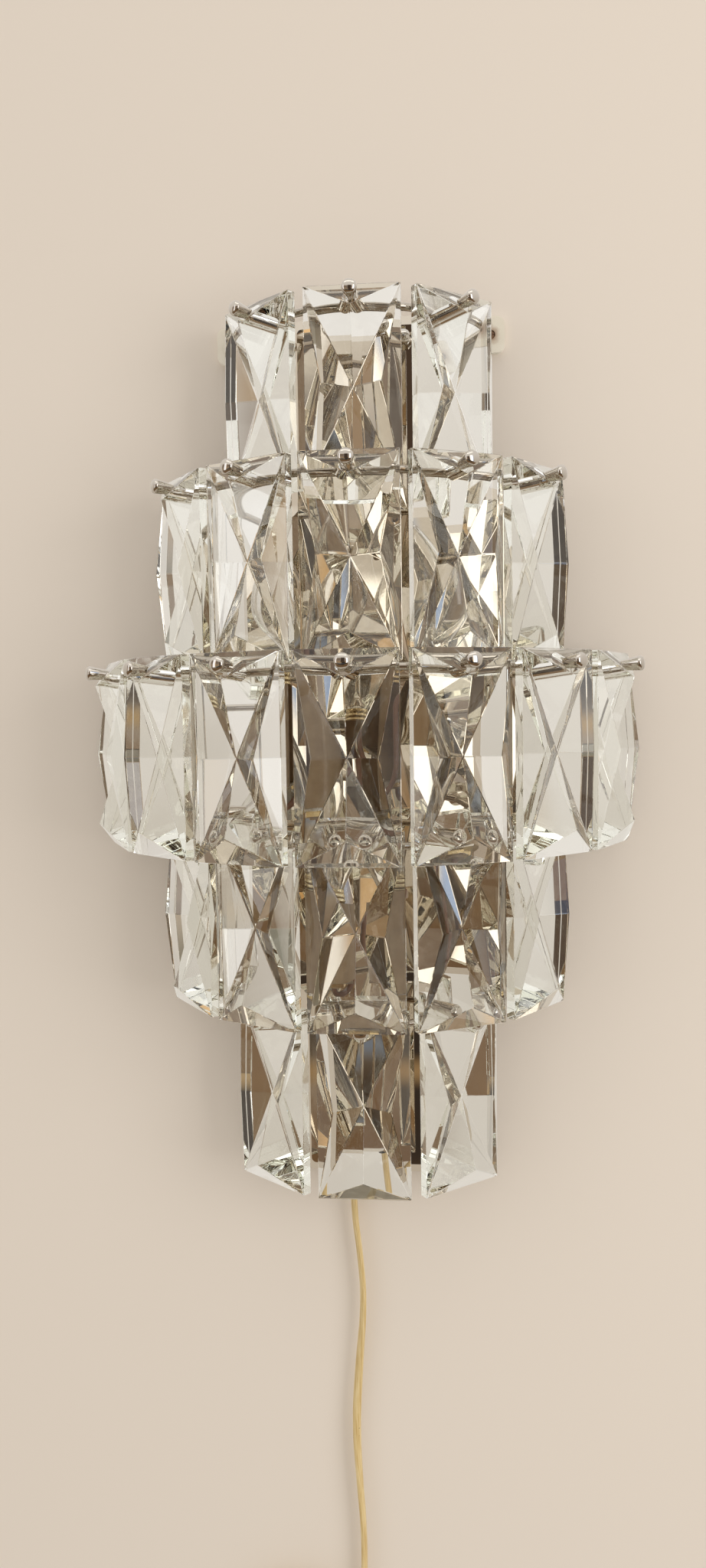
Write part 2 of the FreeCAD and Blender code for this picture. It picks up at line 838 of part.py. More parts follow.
def make_arm(name, side, base):
    """A strip with a tab on the plate and a shelf that carries the holder."""
    body = new_body("lamp_arm_" + name)
    at(body, side, "- lamp_stand_off", base)
    to_plate = "lamp_stand_off - plate_front"
    outline = corners(
        new_sketch(body, "YZ_Plane"),
        [
            ("- arm_reach_past", "0"),
            (to_plate, "0"),
            (to_plate, "- arm_tab"),
            (to_plate + " - arm_sheet", "- arm_tab"),
            (to_plate + " - arm_sheet", "- arm_sheet"),
            ("- arm_reach_past", "- arm_sheet"),
        ],
    )
    pad(body, outline, "arm_width", both_ways=True)
    hole = circle(
        new_sketch(body, "XY_Plane"), "0", "0", "nipple_diameter + 2 * nipple_clearance"
    )
    cut_through(body, hole)
    return body


def make_holder(name, side, base):
    """A turned holder: nipple with a bore for the lead below, socket above."""
    body = new_body("lampholder_" + name)
    at(body, side, "- lamp_stand_off", base)
    socket = "cap_diameter / 2 + cap_clearance"
    floor = "holder_length - holder_bore_depth"
    outline = corners(
        new_sketch(body, "XZ_Plane"),
        [
            ("lead_bore_diameter / 2", "- nipple_length"),
            ("nipple_diameter / 2", "- nipple_length"),
            ("nipple_diameter / 2", "0"),
            ("holder_diameter / 2", "0"),
            ("holder_diameter / 2", "holder_length"),
            (socket, "holder_length"),
            (socket, floor),
            ("0", floor),
            ("0", "lead_bore_depth"),
            ("lead_bore_diameter / 2", "lead_bore_depth"),
        ],
    )
    turn(body, outline)
    return body


def make_cap(name, side, base):
    """The bulb's screw cap, standing on its contact in the socket."""
    body = new_body("bulb_cap_" + name)
    at(body, side, "- lamp_stand_off", base + " + holder_length - holder_bore_depth")
    outline = corners(
        new_sketch(body, "XZ_Plane"),
        [
            ("0", "0"),
            ("contact_diameter / 2", "0"),
            ("contact_diameter / 2", "contact_height"),
            ("cap_diameter / 2", "contact_height"),
            ("cap_diameter / 2", "cap_length"),
            ("0", "cap_length"),
        ],
    )
    turn(body, outline)
    return body


def bulb_side(inset):
    """One side of a candle bulb: arcs that swell from its neck, close in and round its tip."""
    splay = Vector(0.5, 0, 1).normalize()
    upright = Vector(0, 0, 1)
    closing = math.radians(size("bulb_tip_turn"))
    inward = Vector(-math.sin(closing), 0, math.cos(closing))
    outward = Vector(math.cos(closing), 0, math.sin(closing))
    tip_radius = size("bulb_tip_radius")
    tip_middle = Vector(0, 0, size("bulb_length") - tip_radius)
    neck = Vector(size("bulb_neck_diameter") / 2 - inset, 0, 0)
    belly = Vector(size("bulb_diameter") / 2 - inset, 0, size("bulb_belly_height"))
    tip_start = tip_middle + outward * (tip_radius - inset)
    half_way = (closing + math.pi / 2) / 2
    tip_crown = tip_middle + Vector(math.cos(half_way), 0, math.sin(half_way)) * (tip_radius - inset)
    tip = tip_middle + upright * (tip_radius - inset)
    edges = two_arcs(neck, splay, belly, upright)
    edges += two_arcs(belly, upright, tip_start, inward)
    edges.append(Part.Arc(tip_start, tip_crown, tip).toShape())
    return neck, edges, tip


def make_glass(name, side, base):
    """A blown candle bulb, open at the neck where it stands in its cap."""
    outer_neck, outer, outer_tip = bulb_side(0.0)
    inner_neck, inner, inner_tip = bulb_side(size("bulb_wall"))
    neck = Part.LineSegment(inner_neck, outer_neck).toShape()
    tip = Part.LineSegment(outer_tip, inner_tip).toShape()
    section = Part.Face(Part.Wire([neck] + outer + [tip] + inner[::-1]))
    glass = section.revolve(Vector(0, 0, 0), Vector(0, 0, 1), 360)
    foot = number(base + " + holder_length - holder_bore_depth + cap_length")
    place = Placement(Vector(number(side), -size("lamp_stand_off"), foot), Rotation())
    return shaped("bulb_glass_" + name, glass, place)


def make_holder_nuts():
    """A thin nut under each arm, round the holder's nipple."""
    nuts = []
    for _, side, base in LAMPS:
        hexagon = doc.addObject("Part::Prism", "thin_nut")
        hexagon.Polygon = 6
        hexagon.setExpression("Circumradius", cell("holder_nut_across / (2 * cos(30 deg))"))
        hexagon.setExpression("Height", cell("holder_nut_height"))
        bore = doc.addObject("Part::Cylinder", "thin_nut_bore")
        bore.setExpression("Radius", cell("nipple_diameter / 2 + nipple_clearance"))
        bore.setExpression("Height", cell("holder_nut_height"))
        nut = doc.addObject("Part::Cut", "holder_nut")
        nut.Base = hexagon
        nut.Tool = bore
        at(nut, side, "- lamp_stand_off", base + " - arm_sheet - holder_nut_height")
        nuts.append(nut)
    group = doc.addObject("Part::Compound", "holder_nuts")
    group.Links = nuts
    return sub_part(group, "holder_nuts")


def make_lamps():
    for name, side, base in LAMPS:
        make_arm(name, side, base)
        make_holder(name, side, base)
        make_cap(name, side, base)
        make_glass(name, side, base)
    make_holder_nuts()


# Wiring


def make_block():
    """The terminal block behind the plate, with a row of screw wells on its back."""
    body = new_body("terminal_block")
    at(body, "0", "plate_sheet - plate_front", "block_level")
    half = "block_length / 2"
    outline = corners(
        new_sketch(body, "XZ_Plane"),
        [
            ("- " + half, "0"),
            (half, "0"),
            (half, "block_height"),
            ("- " + half, "block_height"),
        ],
    )
    block = pad(body, outline, "block_depth")
    block.Reversed = True
    doc.recompute()
    pitch = "block_length / block_ways"
    well = new_sketch(body, "XZ_Plane")
    circle(well, "- " + half + " + " + pitch + " / 2", "block_height / 2", "block_well_diameter")
    well.setExpression("AttachmentOffset.Base.z", cell("- block_depth"))
    doc.recompute()
    before = body.Shape.Volume
    pocket = body.newObject("PartDesign::Pocket", "block_well")
    pocket.Profile = well
    pocket.setExpression("Length", cell("block_well_depth"))
    pocket.Reversed = True
    doc.recompute()
    if not body.Shape.Volume < before:
        raise ValueError("the terminal block's well cuts nothing")
    row = body.newObject("PartDesign::LinearPattern", "block_wells")
    row.Originals = [pocket]
    row.Direction = (well, ["H_Axis"])
    row.setExpression("Length", cell(pitch + " * (block_ways - 1)"))
    row.setExpression("Occurrences", cell("block_ways"))
    body.Tip = row
    doc.recompute()
    return body


def lead_route(side, base, way):
    """From the block up inside the plate, out of its hole, down and up into the holder."""
    inside = -(size("plate_front") + size("bar_thickness")) / 2
    block_top = size("block_level") + size("block_height")
    pitch = size("block_length") / size("block_ways")
    start = way * pitch
    x = number(side)
    foot = number(base) + size("lead_bore_depth")
    hole_x = number(lead_hole_side(side))
    hole_z = number(base) + size("lead_rise")
    front = -size("lamp_stand_off")
    beside = front + size("lead_loop_depth")
    below = number(base) - size("nipple_length") - size("lead_loop_drop")
    route = [
        Vector(start, inside, block_top),
        Vector(start, inside, block_top + size("lead_straight")),
    ]
    if way != 0:
        fan_level = block_top + size("lead_fan_rise")
        route.append(Vector(start + way * size("lead_fan_side"), inside, fan_level))
    route += [
        Vector(hole_x, inside, hole_z - size("lead_upright_run")),
        Vector(hole_x, inside, hole_z),
        Vector(hole_x, beside, hole_z),
        Vector(hole_x, beside, number(base) + size("lead_loop_start")),
        Vector((x + hole_x) / 2, (beside + 2 * front) / 3, below),
        Vector(x, front, below),
        Vector(x, front, foot),
    ]
    return route


def make_leads():
    """One lead to each holder."""
    leads = []
    for way, (_, side, base) in zip((-1, 0, 1), LAMPS):
        edges, _ = bent_path(lead_route(side, base, way))
        leads.append(tube_along(edges, size("lead_diameter")))
    return shaped("leads", Part.makeCompound(leads))


def make_grommet():
    """A bush with a groove that sits in the plate's lower edge, round the cord."""
    body = new_body("cord_grommet")
    at(body, "cord_side", "cord_depth", "narrow_bottom")
    bore = "cord_diameter / 2 + grommet_clearance"
    flange = "grommet_flange_diameter / 2"
    neck = "grommet_neck_diameter / 2"
    outline = corners(
        new_sketch(body, "XZ_Plane"),
        [
            (bore, "- grommet_flange"),
            (flange, "- grommet_flange"),
            (flange, "0"),
            (neck, "0"),
            (neck, "plate_sheet"),
            (flange, "plate_sheet"),
            (flange, "plate_sheet + grommet_flange"),
            (bore, "plate_sheet + grommet_flange"),
        ],
    )
    turn(body, outline)
    return body


def cord_route():
    """The cord from the terminal block through the bush and down to the coil."""
    x = size("cord_side")
    y = size("cord_depth")
    hanging = [
        # Points beside and below the last, chosen by hand along the photographed cord.
        (-7.2, -5.3, -517.0),
        (-5.0, -5.0, -548.0),
        (-8.6, -4.9, -585.0),
        (-11.0, -5.0, -622.0),
        (-9.5, -5.1, -655.0),
        (-7.0, -5.1, -690.0),
        (-7.6, -5.0, -728.0),
        (-7.6, -5.0, -758.0),
    ]
    top = size("block_level")
    below_plate = size("narrow_bottom") - size("cord_straight")
    return [Vector(x, y, top), Vector(x, y, below_plate)] + [Vector(*spot) for spot in hanging]


def make_cord():
    edges, radii = bent_path(cord_route())
    print("cord arc radii:", ", ".join("%.0f" % radius for radius in radii))
    cord = tube_along(edges, size("cord_diameter"))
    length = sum(edge.Length for edge in edges)
    section = math.pi * size("cord_diameter") ** 2 / 4
    print("cord length %.1f, volume over section x length %.4f" % (
        length, cord.Volume / (section * length)))
    return shaped("cord", cord)


def coil_point(turns, start):
    """A point of the coil: in by one pitch a turn, back a layer, and out again."""
    pitch = size("coil_pitch")
    total = size("coil_turns")
    climb = 0.5
    leg = (total - climb) / 2
    if turns < leg:
        radius = size("coil_radius") - pitch * turns
        layer = 0.0
    elif turns < leg + climb:
        share = (turns - leg) / climb
        radius = size("coil_radius") - pitch * leg
        radius += pitch * climb * (share * share - share)
        layer = (1 - math.cos(math.pi * share)) / 2
    else:
        radius = size("coil_radius") - pitch * (total - turns)
        layer = 1.0
    angle = -2 * math.pi * turns
    return Vector(
        start.x + radius * math.cos(angle) - size("coil_radius"),
        start.y - pitch * layer,
        start.z + radius * math.sin(angle),
    )


def least_gap(points, diameter, skip):
    """The least gap between turns, on points that are more than a stretch apart."""
    least = 1e9
    for index, one in enumerate(points):
        for other in points[index + skip:]:
            least = min(least, (one - other).Length)
    return least - diameter


def make_coil(cord_end):
    """The spare cord as one tube: flat turns in two layers, and a tail for the plug."""
    diameter = size("cord_diameter")
    start = cord_end - Vector(0, 0, diameter)
    quarters = int(4 * size("coil_turns"))
    nudge = 1e-4
    spots = [coil_point(quarter / 4, start) for quarter in range(quarters + 1)]
    headings = []
    for quarter in range(quarters + 1):
        ahead = coil_point(quarter / 4 + nudge, start)
        behind = coil_point(quarter / 4 - nudge, start)
        headings.append((ahead - behind).normalize())
    down = Vector(0, 0, -1)
    headings[0] = down
    headings[-1] = down
    edges = [Part.LineSegment(cord_end, start).toShape()]
    for index in range(quarters):
        edges += two_arcs(spots[index], headings[index], spots[index + 1], headings[index + 1])
    tail_end = spots[-1] + down * size("coil_tail")
    edges.append(Part.LineSegment(spots[-1], tail_end).toShape())
    per_turn = 48
    samples = [
        coil_point(step / per_turn, start) for step in range(int(per_turn * size("coil_turns")))
    ]
    print("least gap of the coil to itself %.2f" % least_gap(samples, diameter, per_turn // 2))
    length = sum(edge.Length for edge in edges)
    coil = tube_along(edges, diameter)
    section = math.pi * diameter ** 2 / 4
    print("coil length %.0f, volume over section x length %.4f" % (
        length, coil.Volume / (section * length)))
    shaped("cord_coil", coil)
    return start, tail_end


def make_tie(start):
    """A strap round the bundle of turns, at the coil's left side."""
    pitch = size("coil_pitch")
    radius = size("coil_radius")
    deep = pitch * (size("coil_turns") - 0.5) / 2
    grow = size("cord_diameter") / 2 + size("tie_clearance")
    centre_x = start.x - radius
    left = centre_x - radius - grow
    right = centre_x - radius + deep + pitch + grow
    back = start.y + grow
    front = start.y - pitch - grow
    low = start.z - size("tie_width") / 2
    sheet_thickness = size("tie_sheet")
    inner = Part.makeBox(
        right - left, back - front, size("tie_width"), Vector(left, front, low)
    )
    outer = Part.makeBox(
        right - left + 2 * sheet_thickness,
        back - front + 2 * sheet_thickness,
        size("tie_width"),
        Vector(left - sheet_thickness, front - sheet_thickness, low),
    )
    upright = [edge for edge in outer.Edges if runs_along(edge, Vector(0, 0, 1))]
    outer = outer.makeFillet(sheet_thickness, upright)
    return shaped("cord_tie", outer.cut(inner))


def make_plug(tail_end):
    """A flat two-pin plug, waisted above, hanging with its prongs down."""
    body = new_body("plug_body")
    body.Placement = Placement(tail_end, Rotation())
    half = "plug_width / 2"
    waist = "plug_waist / 2"
    outline = corners(
        new_sketch(body, "XZ_Plane"),
        [
            (waist, "0"),
            (half, "- plug_shoulder"),
            (half, "- plug_length"),
            ("- " + half, "- plug_length"),
            ("- " + half, "- plug_shoulder"),
            ("- " + waist, "0"),
        ],
    )
    pad(body, outline, "plug_thickness", both_ways=True)
    upright = Vector(0, 1, 0)
    round_edges(
        body,
        lambda edge: runs_along(edge, upright) and edge.CenterOfMass.z < -1,
        "plug_edge",
    )
    prongs = []
    for side in (-1, 1):
        offset = Vector(side * size("prong_spacing") / 2, 0, -size("plug_length"))
        spot = tail_end + offset
        prong = Part.makeCylinder(
            size("prong_diameter") / 2, size("prong_length"), spot, Vector(0, 0, -1)
        )
        tip = [edge for edge in prong.Edges if edge.BoundBox.ZMax < spot.z - 1]
        prongs.append(prong.makeFillet(size("prong_diameter") / 5, tip))
    return shaped("plug_prongs", Part.makeCompound(prongs))


def make_wiring():
    make_block()
    make_leads()
    make_grommet()
    make_cord()
    start, tail_end = make_coil(cord_route()[-1])
    make_tie(start)
    make_plug(tail_end)


def check_and_write():
    """Stops on any failed object or bad solid, then writes one file for each piece."""
    doc.recompute()
    for item in doc.Objects:
        if "Invalid" in item.State or "Error" in item.State:
            raise ValueError("failed object: " + item.Label)
    for item in parts:
        if item.Shape.isNull() or not item.Shape.isValid() or not item.Shape.Solids:
            raise ValueError("bad solid: " + item.Label)
    os.makedirs("parts", exist_ok=True)
    for item in parts:
        item.Shape.exportStep("parts/%s.step" % item.Label)
    print("%d pieces written" % len(parts))


plate_body, plate_full = make_back_plate()
make_wall_bar()
make_studs()
make_dome_nuts()
make_tiers(plate_full)
make_lamps()
make_wiring()
check_and_write()
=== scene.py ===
import json
import math

import bmesh
import bpy
from mathutils import Matrix, Vector


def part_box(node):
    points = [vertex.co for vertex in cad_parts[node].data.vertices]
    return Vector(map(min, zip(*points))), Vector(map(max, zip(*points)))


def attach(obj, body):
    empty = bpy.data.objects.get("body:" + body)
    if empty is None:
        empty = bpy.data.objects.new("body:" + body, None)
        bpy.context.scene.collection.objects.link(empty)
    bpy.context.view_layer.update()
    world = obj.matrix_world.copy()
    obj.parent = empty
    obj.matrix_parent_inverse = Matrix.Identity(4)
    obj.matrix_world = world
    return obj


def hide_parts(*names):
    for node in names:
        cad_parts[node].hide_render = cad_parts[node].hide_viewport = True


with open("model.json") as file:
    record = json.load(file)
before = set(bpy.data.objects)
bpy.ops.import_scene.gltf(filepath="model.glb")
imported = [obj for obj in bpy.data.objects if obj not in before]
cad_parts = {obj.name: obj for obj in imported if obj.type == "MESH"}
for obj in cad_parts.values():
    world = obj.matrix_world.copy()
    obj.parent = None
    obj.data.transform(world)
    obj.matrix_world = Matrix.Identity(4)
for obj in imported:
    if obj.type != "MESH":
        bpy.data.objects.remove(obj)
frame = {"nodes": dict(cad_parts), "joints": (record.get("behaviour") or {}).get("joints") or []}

SCENE = bpy.context.scene
NODES = frame["nodes"]
JOINTS = {joint["child"]: joint for joint in frame["joints"]}
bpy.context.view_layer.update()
MM = 0.001

# Crystal slabs, as in the construction model

CRYSTAL_WIDTH = 50.0 * MM
CRYSTAL_HEIGHT = 102.0 * MM
CRYSTAL_BACK = 2.3 * MM
RIM_THICKNESS = 5.0 * MM
END_PEAK_RISE = 11.5 * MM
END_PEAK_INSET = 13.6 * MM
SIDE_PEAK_RISE = 9.3 * MM
SIDE_PEAK_INSET = 9.5 * MM
STAR_DIP = 0.6 * MM
HOLE_RADIUS = 4.1 * MM
HOLE_DROP = 8.9 * MM
HOLE_SIDES = 48
GROUND_EDGE = 0.35 * MM

# Rods and pins. A turned profile is a list of radius and distance along its axis.

TIERS = (3, 5, 7, 5, 3)
ROD_AXIS_DEPTH = 33.0 * MM
PIN_LEAN = math.radians(5.0)
PIN_PROFILE_MM = [
    (0.0, 1.6), (1.9, 1.6), (1.9, 6.8), (2.0, 7.3), (3.85, 21.4), (3.9, 21.9), (3.75, 22.5),
    (3.1, 23.15), (1.9, 23.55), (0.0, 23.7),
]

# Screws and threads. A head's profile and its slot are shares of its radius and height.

HEAD_PROFILE = [(0.0, 0.0), (1.0, 0.0), (1.0, 0.35), (0.86, 0.75), (0.5, 0.97), (0.0, 1.0)]
SLOT_FLOOR = 0.55
SLOT_WIDTH = 0.22
BAR_SCREW_RADIUS = 2.45 * MM
BAR_SCREW_HEIGHT = 1.3 * MM
RUSTY_SCREW = (72.0 * MM, -3.0 * MM, 0.0)
ARM_SCREW_RADIUS = 3.0 * MM
ARM_SCREW_HEIGHT = 1.9 * MM
ARM_SHEET = 1.5 * MM
STUD_PITCH = 0.8 * MM
STUD_THREAD_DEPTH = 0.35 * MM
STUD_THREAD_PROUD = 0.1 * MM

# Bulbs. A cap's profile and its thread are shares of its radius and height.

LAMPS = ("left", "centre", "right")
CAP_THREADS = 7
CAP_THREAD_START = 0.14
CAP_THREAD_END = 0.88
CAP_THREAD_DEPTH = 0.1
CAP_PROFILE = [
    (0.0, 0.0), (0.2, 0.0), (0.4, 0.02), (0.45, 0.07), (0.75, 0.09), (0.85, CAP_THREAD_START),
    (0.85, CAP_THREAD_END), (0.93, 0.9), (0.93, 0.98), (0.9, 1.0), (0.0, 1.0),
]
STEM_TOP = 26.0 * MM
STEM_PROFILE_MM = [
    (0.0, 1.5), (4.6, 1.5), (4.4, 2.5), (2.4, 6.0), (1.6, 11.0), (1.5, 24.0), (2.4, 25.0),
    (1.6, 26.0), (0.0, 26.3),
]
FILAMENT_LEVEL = 34.0 * MM
FILAMENT_LENGTH = 15.0 * MM
FILAMENT_RADIUS = 0.8 * MM
FILAMENT_TURNS = 18.0
FILAMENT_WIRE = 0.16 * MM
SUPPORT_WIRE = 0.28 * MM

# Cord. Its route and its coil are in millimetres, as in the construction model, and its sheath
# twists to and fro by an angle in radians.

CORD_WIDTH = 5.0 * MM
CORD_THICKNESS = 3.6 * MM
CORD_SIDES = 16
CORD_TWIST = 1.3
CORD_TWIST_LENGTH = 55.0 * MM
CORD_PATTERN_LENGTH = 50.0 * MM
CORD_ROUTE = [
    (-10.8, -5.2, -434.0),
    (-10.8, -5.2, -489.0),
    (-7.2, -5.3, -517.0),
    (-5.0, -5.0, -548.0),
    (-8.6, -4.9, -585.0),
    (-11.0, -5.0, -622.0),
    (-9.5, -5.1, -655.0),
    (-7.0, -5.1, -690.0),
    (-7.6, -5.0, -728.0),
]
COIL_START = (-7.6, -5.0, -762.2)
COIL_RADIUS = 40.0
COIL_PITCH = 5.2
COIL_TURNS = 7.0
COIL_TAIL = 62.0
COIL_CLIMB = 0.5
COIL_POINTS_PER_TURN = 16

# Camera: fitted to the photograph, for a frame of 922 x 2048

CAMERA_PLACE = Vector((48.06, -621.44, -204.08)) * MM
CAMERA_YAW = math.radians(5.11)
CAMERA_PITCH = math.radians(-3.80)
CAMERA_ROLL = math.radians(-0.88)
FOCAL_PIXELS = 1432.35
FRAME_HEIGHT = 2048
SENSOR = 36.0
NEAREST_SEEN = 10.0 * MM


def add_camera():
    """A camera whose axes are worked out from its yaw, pitch and roll."""
    ahead = Vector((
        -math.sin(CAMERA_YAW) * math.cos(CAMERA_PITCH),
        math.cos(CAMERA_YAW) * math.cos(CAMERA_PITCH),
        math.sin(CAMERA_PITCH),
    ))
    level = Vector((math.cos(CAMERA_YAW), math.sin(CAMERA_YAW), 0.0))
    upright = level.cross(ahead)
    right = math.cos(CAMERA_ROLL) * level + math.sin(CAMERA_ROLL) * upright
    up = math.cos(CAMERA_ROLL) * upright - math.sin(CAMERA_ROLL) * level
    data = bpy.data.cameras.new("camera")
    data.sensor_fit = "VERTICAL"
    data.sensor_height = SENSOR
    data.lens = SENSOR * FOCAL_PIXELS / FRAME_HEIGHT
    data.clip_start = NEAREST_SEEN
    camera = bpy.data.objects.new("camera", data)
    turned = Matrix((right, up, -ahead)).transposed().to_4x4()
    camera.matrix_world = Matrix.Translation(CAMERA_PLACE) @ turned
    SCENE.collection.objects.link(camera)
    SCENE.camera = camera


# Materials


class Nodes:
    """Short ways to add and join the shader nodes of one tree."""

    def __init__(self, tree):
        self.tree = tree

    def feed(self, target, source):
        """Joins an input to an output, or sets it to a plain value."""
        if isinstance(source, bpy.types.NodeSocket):
            self.tree.links.new(source, target)
        else:
            target.default_value = source

    def node(self, kind, **settings):
        """A new node, with its inputs and its options set by name."""
        item = self.tree.nodes.new(kind)
        for key, value in settings.items():
            if key in item.inputs:
                self.feed(item.inputs[key], value)
            else:
                setattr(item, key, value)
        return item

    def math(self, operation, *sources):
        item = self.node("ShaderNodeMath", operation=operation)
        for target, source in zip(item.inputs, sources):
            self.feed(target, source)
        return item.outputs[0]

    def mix(self, factor, first, second):
        """The first colour where the factor is 0, the second where it is 1."""
        item = self.node("ShaderNodeMix", data_type="RGBA")
        self.feed(item.inputs["Factor"], factor)
        self.feed(item.inputs["A"], full_colour(first))
        self.feed(item.inputs["B"], full_colour(second))
        return item.outputs["Result"]

    def noise(self, where, scale, detail=4.0, roughness=0.55):
        """A noise pattern: scale is in patches a metre, near enough."""
        item = self.node(
            "ShaderNodeTexNoise", Vector=where, Scale=scale, Detail=detail, Roughness=roughness
        )
        return item.outputs["Fac"]

    def ramp(self, source, stops):
        """Colours or grey levels along a pattern's value."""
        item = self.node("ShaderNodeValToRGB")
        elements = item.color_ramp.elements
        while len(elements) < len(stops):
            elements.new(0.5)
        for element, (spot, colour) in zip(elements, stops):
            element.position = spot
            if isinstance(colour, (int, float)):
                colour = (colour, colour, colour)
            element.color = full_colour(colour)
        self.feed(item.inputs["Fac"], source)
        return item.outputs["Color"]


def full_colour(source):
    """A plain colour with its fourth number; an output stays as it is."""
    return source if isinstance(source, bpy.types.NodeSocket) else (*source, 1.0)


class Finish(Nodes):
    """A material with one main shader, patterned on the piece's own place."""

    def __init__(self, name, **sockets):
        self.material = bpy.data.materials.new(name)
        self.material.use_nodes = True
        super().__init__(self.material.node_tree)
        self.shader = self.tree.nodes["Principled BSDF"]
        for socket, value in sockets.items():
            label = socket.replace("_", " ").title().replace("Ior", "IOR")
            self.feed(self.shader.inputs[label], value)

    def place(self, stretch=(1.0, 1.0, 1.0)):
        """Object coordinates, stretched."""
        where = self.node("ShaderNodeTexCoord").outputs["Object"]
        return self.node("ShaderNodeMapping", Vector=where, Scale=stretch).outputs["Vector"]

    def grain(self, scale, detail=4.0, stretch=(1.0, 1.0, 1.0)):
        """A noise pattern on the piece."""
        return self.noise(self.place(stretch), scale, detail)

    def colour(self, source):
        self.feed(self.shader.inputs["Base Color"], source)

    def roughness(self, source):
        self.feed(self.shader.inputs["Roughness"], source)

    def bump(self, source, strength, distance):
        item = self.node("ShaderNodeBump", Height=source, Strength=strength, Distance=distance)
        self.feed(self.shader.inputs["Normal"], item.outputs["Normal"])


def crystal_glass():
    """Full lead crystal, greenish in its depth, with old dust and a slight wave."""
    finish = Finish(
        "crystal_glass",
        base_color=full_colour((0.992, 0.984, 0.962)),
        ior=1.56,
        transmission_weight=1.0,
    )
    dust = finish.grain(38.0, detail=6.0)
    finish.roughness(finish.ramp(dust, [(0.45, 0.0), (0.8, 0.02)]))
    finish.bump(finish.grain(22.0, detail=1.0), strength=0.05, distance=0.4 * MM)
    depth = finish.node(
        "ShaderNodeVolumeAbsorption", Color=full_colour((0.76, 0.82, 0.62)), Density=5.0
    )
    output = finish.tree.nodes["Material Output"]
    finish.feed(output.inputs["Volume"], depth.outputs["Volume"])
    return finish.material


def worn_metal(name, tone, bright, dull):
    """Plated or plain metal, worn from its bright roughness to its dull one in patches."""
    finish = Finish(name, base_color=full_colour(tone), metallic=1.0)
    wear = finish.grain(90.0, detail=5.0)
    finish.roughness(finish.ramp(wear, [(0.35, bright), (0.75, dull)]))
    finish.bump(finish.grain(700.0, detail=2.0), strength=0.05, distance=0.05 * MM)
    return finish.material


def mirror_metal():
    """The polished plate, faintly warm, with soft smears along its length."""
    finish = Finish("mirror_metal", metallic=1.0)
    tint = finish.grain(9.0, detail=3.0, stretch=(1.0, 1.0, 0.4))
    finish.colour(finish.ramp(tint, [(0.3, (0.66, 0.58, 0.475)), (0.75, (0.74, 0.67, 0.57))]))
    smears = finish.grain(60.0, detail=6.0, stretch=(1.0, 1.0, 0.25))
    finish.roughness(finish.ramp(smears, [(0.4, 0.0), (0.8, 0.05)]))
    finish.bump(finish.grain(14.0, detail=1.0), strength=0.04, distance=0.6 * MM)
    return finish.material


def cream_paint():
    """Old cream paint, with rust that has crept out round the right-hand screw."""
    finish = Finish("cream_paint", roughness=0.5)
    rust_tone = (0.34, 0.20, 0.11)
    rust_ends, paint_starts, raggedness = 4.5 * MM, 7.2 * MM, 4.0 * MM
    away = finish.node("ShaderNodeVectorMath", operation="DISTANCE")
    finish.feed(away.inputs[0], finish.place())
    finish.feed(away.inputs[1], RUSTY_SCREW)
    edge = finish.grain(240.0, detail=5.0)
    spread = finish.math("MULTIPLY_ADD", edge, raggedness, away.outputs["Value"])
    clean = finish.ramp(spread, [(rust_ends, 0.0), (paint_starts, 1.0)])
    age = finish.grain(60.0, detail=6.0)
    tone = finish.ramp(age, [(0.3, (0.78, 0.72, 0.60)), (0.7, (0.86, 0.81, 0.70))])
    finish.colour(finish.mix(clean, rust_tone, tone))
    finish.bump(finish.grain(500.0, detail=3.0), strength=0.15, distance=0.1 * MM)
    return finish.material


def plain_finish(name, dark, light, roughness, scale=120.0):
    """A moulded or satin surface whose tone drifts a little, with a grain 8 times finer."""
    finish = Finish(name, roughness=roughness)
    finish.colour(finish.ramp(finish.grain(scale), [(0.3, dark), (0.7, light)]))
    finish.bump(finish.grain(8 * scale, detail=3.0), strength=0.1, distance=0.08 * MM)
    return finish.material


def bulb_glass():
    """Thin clear glass, faintly dusty."""
    finish = Finish(
        "bulb_clear_glass",
        base_color=full_colour((0.99, 0.99, 0.98)),
        ior=1.45,
        transmission_weight=1.0,
    )
    dust = finish.grain(70.0, detail=6.0)
    finish.roughness(finish.ramp(dust, [(0.5, 0.0), (0.85, 0.06)]))
    return finish.material


def cord_sheath():
    """Yellowed ivory sheath, streaked along the cord, with a few specks."""
    finish = Finish("cord_sheath", roughness=0.38)
    where = finish.node("ShaderNodeTexCoord").outputs["UV"]
    along = finish.node("ShaderNodeMapping", Vector=where, Scale=(6.0, 1.0, 1.0))
    streaks = finish.noise(along.outputs["Vector"], 2.2, detail=5.0, roughness=0.6)
    tone = finish.ramp(
        streaks, [(0.30, (0.50, 0.33, 0.12)), (0.5, (0.66, 0.50, 0.24)), (0.7, (0.78, 0.64, 0.38))]
    )
    specks = finish.ramp(finish.grain(420.0, detail=1.0), [(0.76, 0.0), (0.80, 1.0)])
    finish.colour(finish.mix(specks, tone, (0.16, 0.10, 0.05)))
    finish.bump(finish.grain(900.0, detail=3.0), strength=0.12, distance=0.08 * MM)
    return finish.material


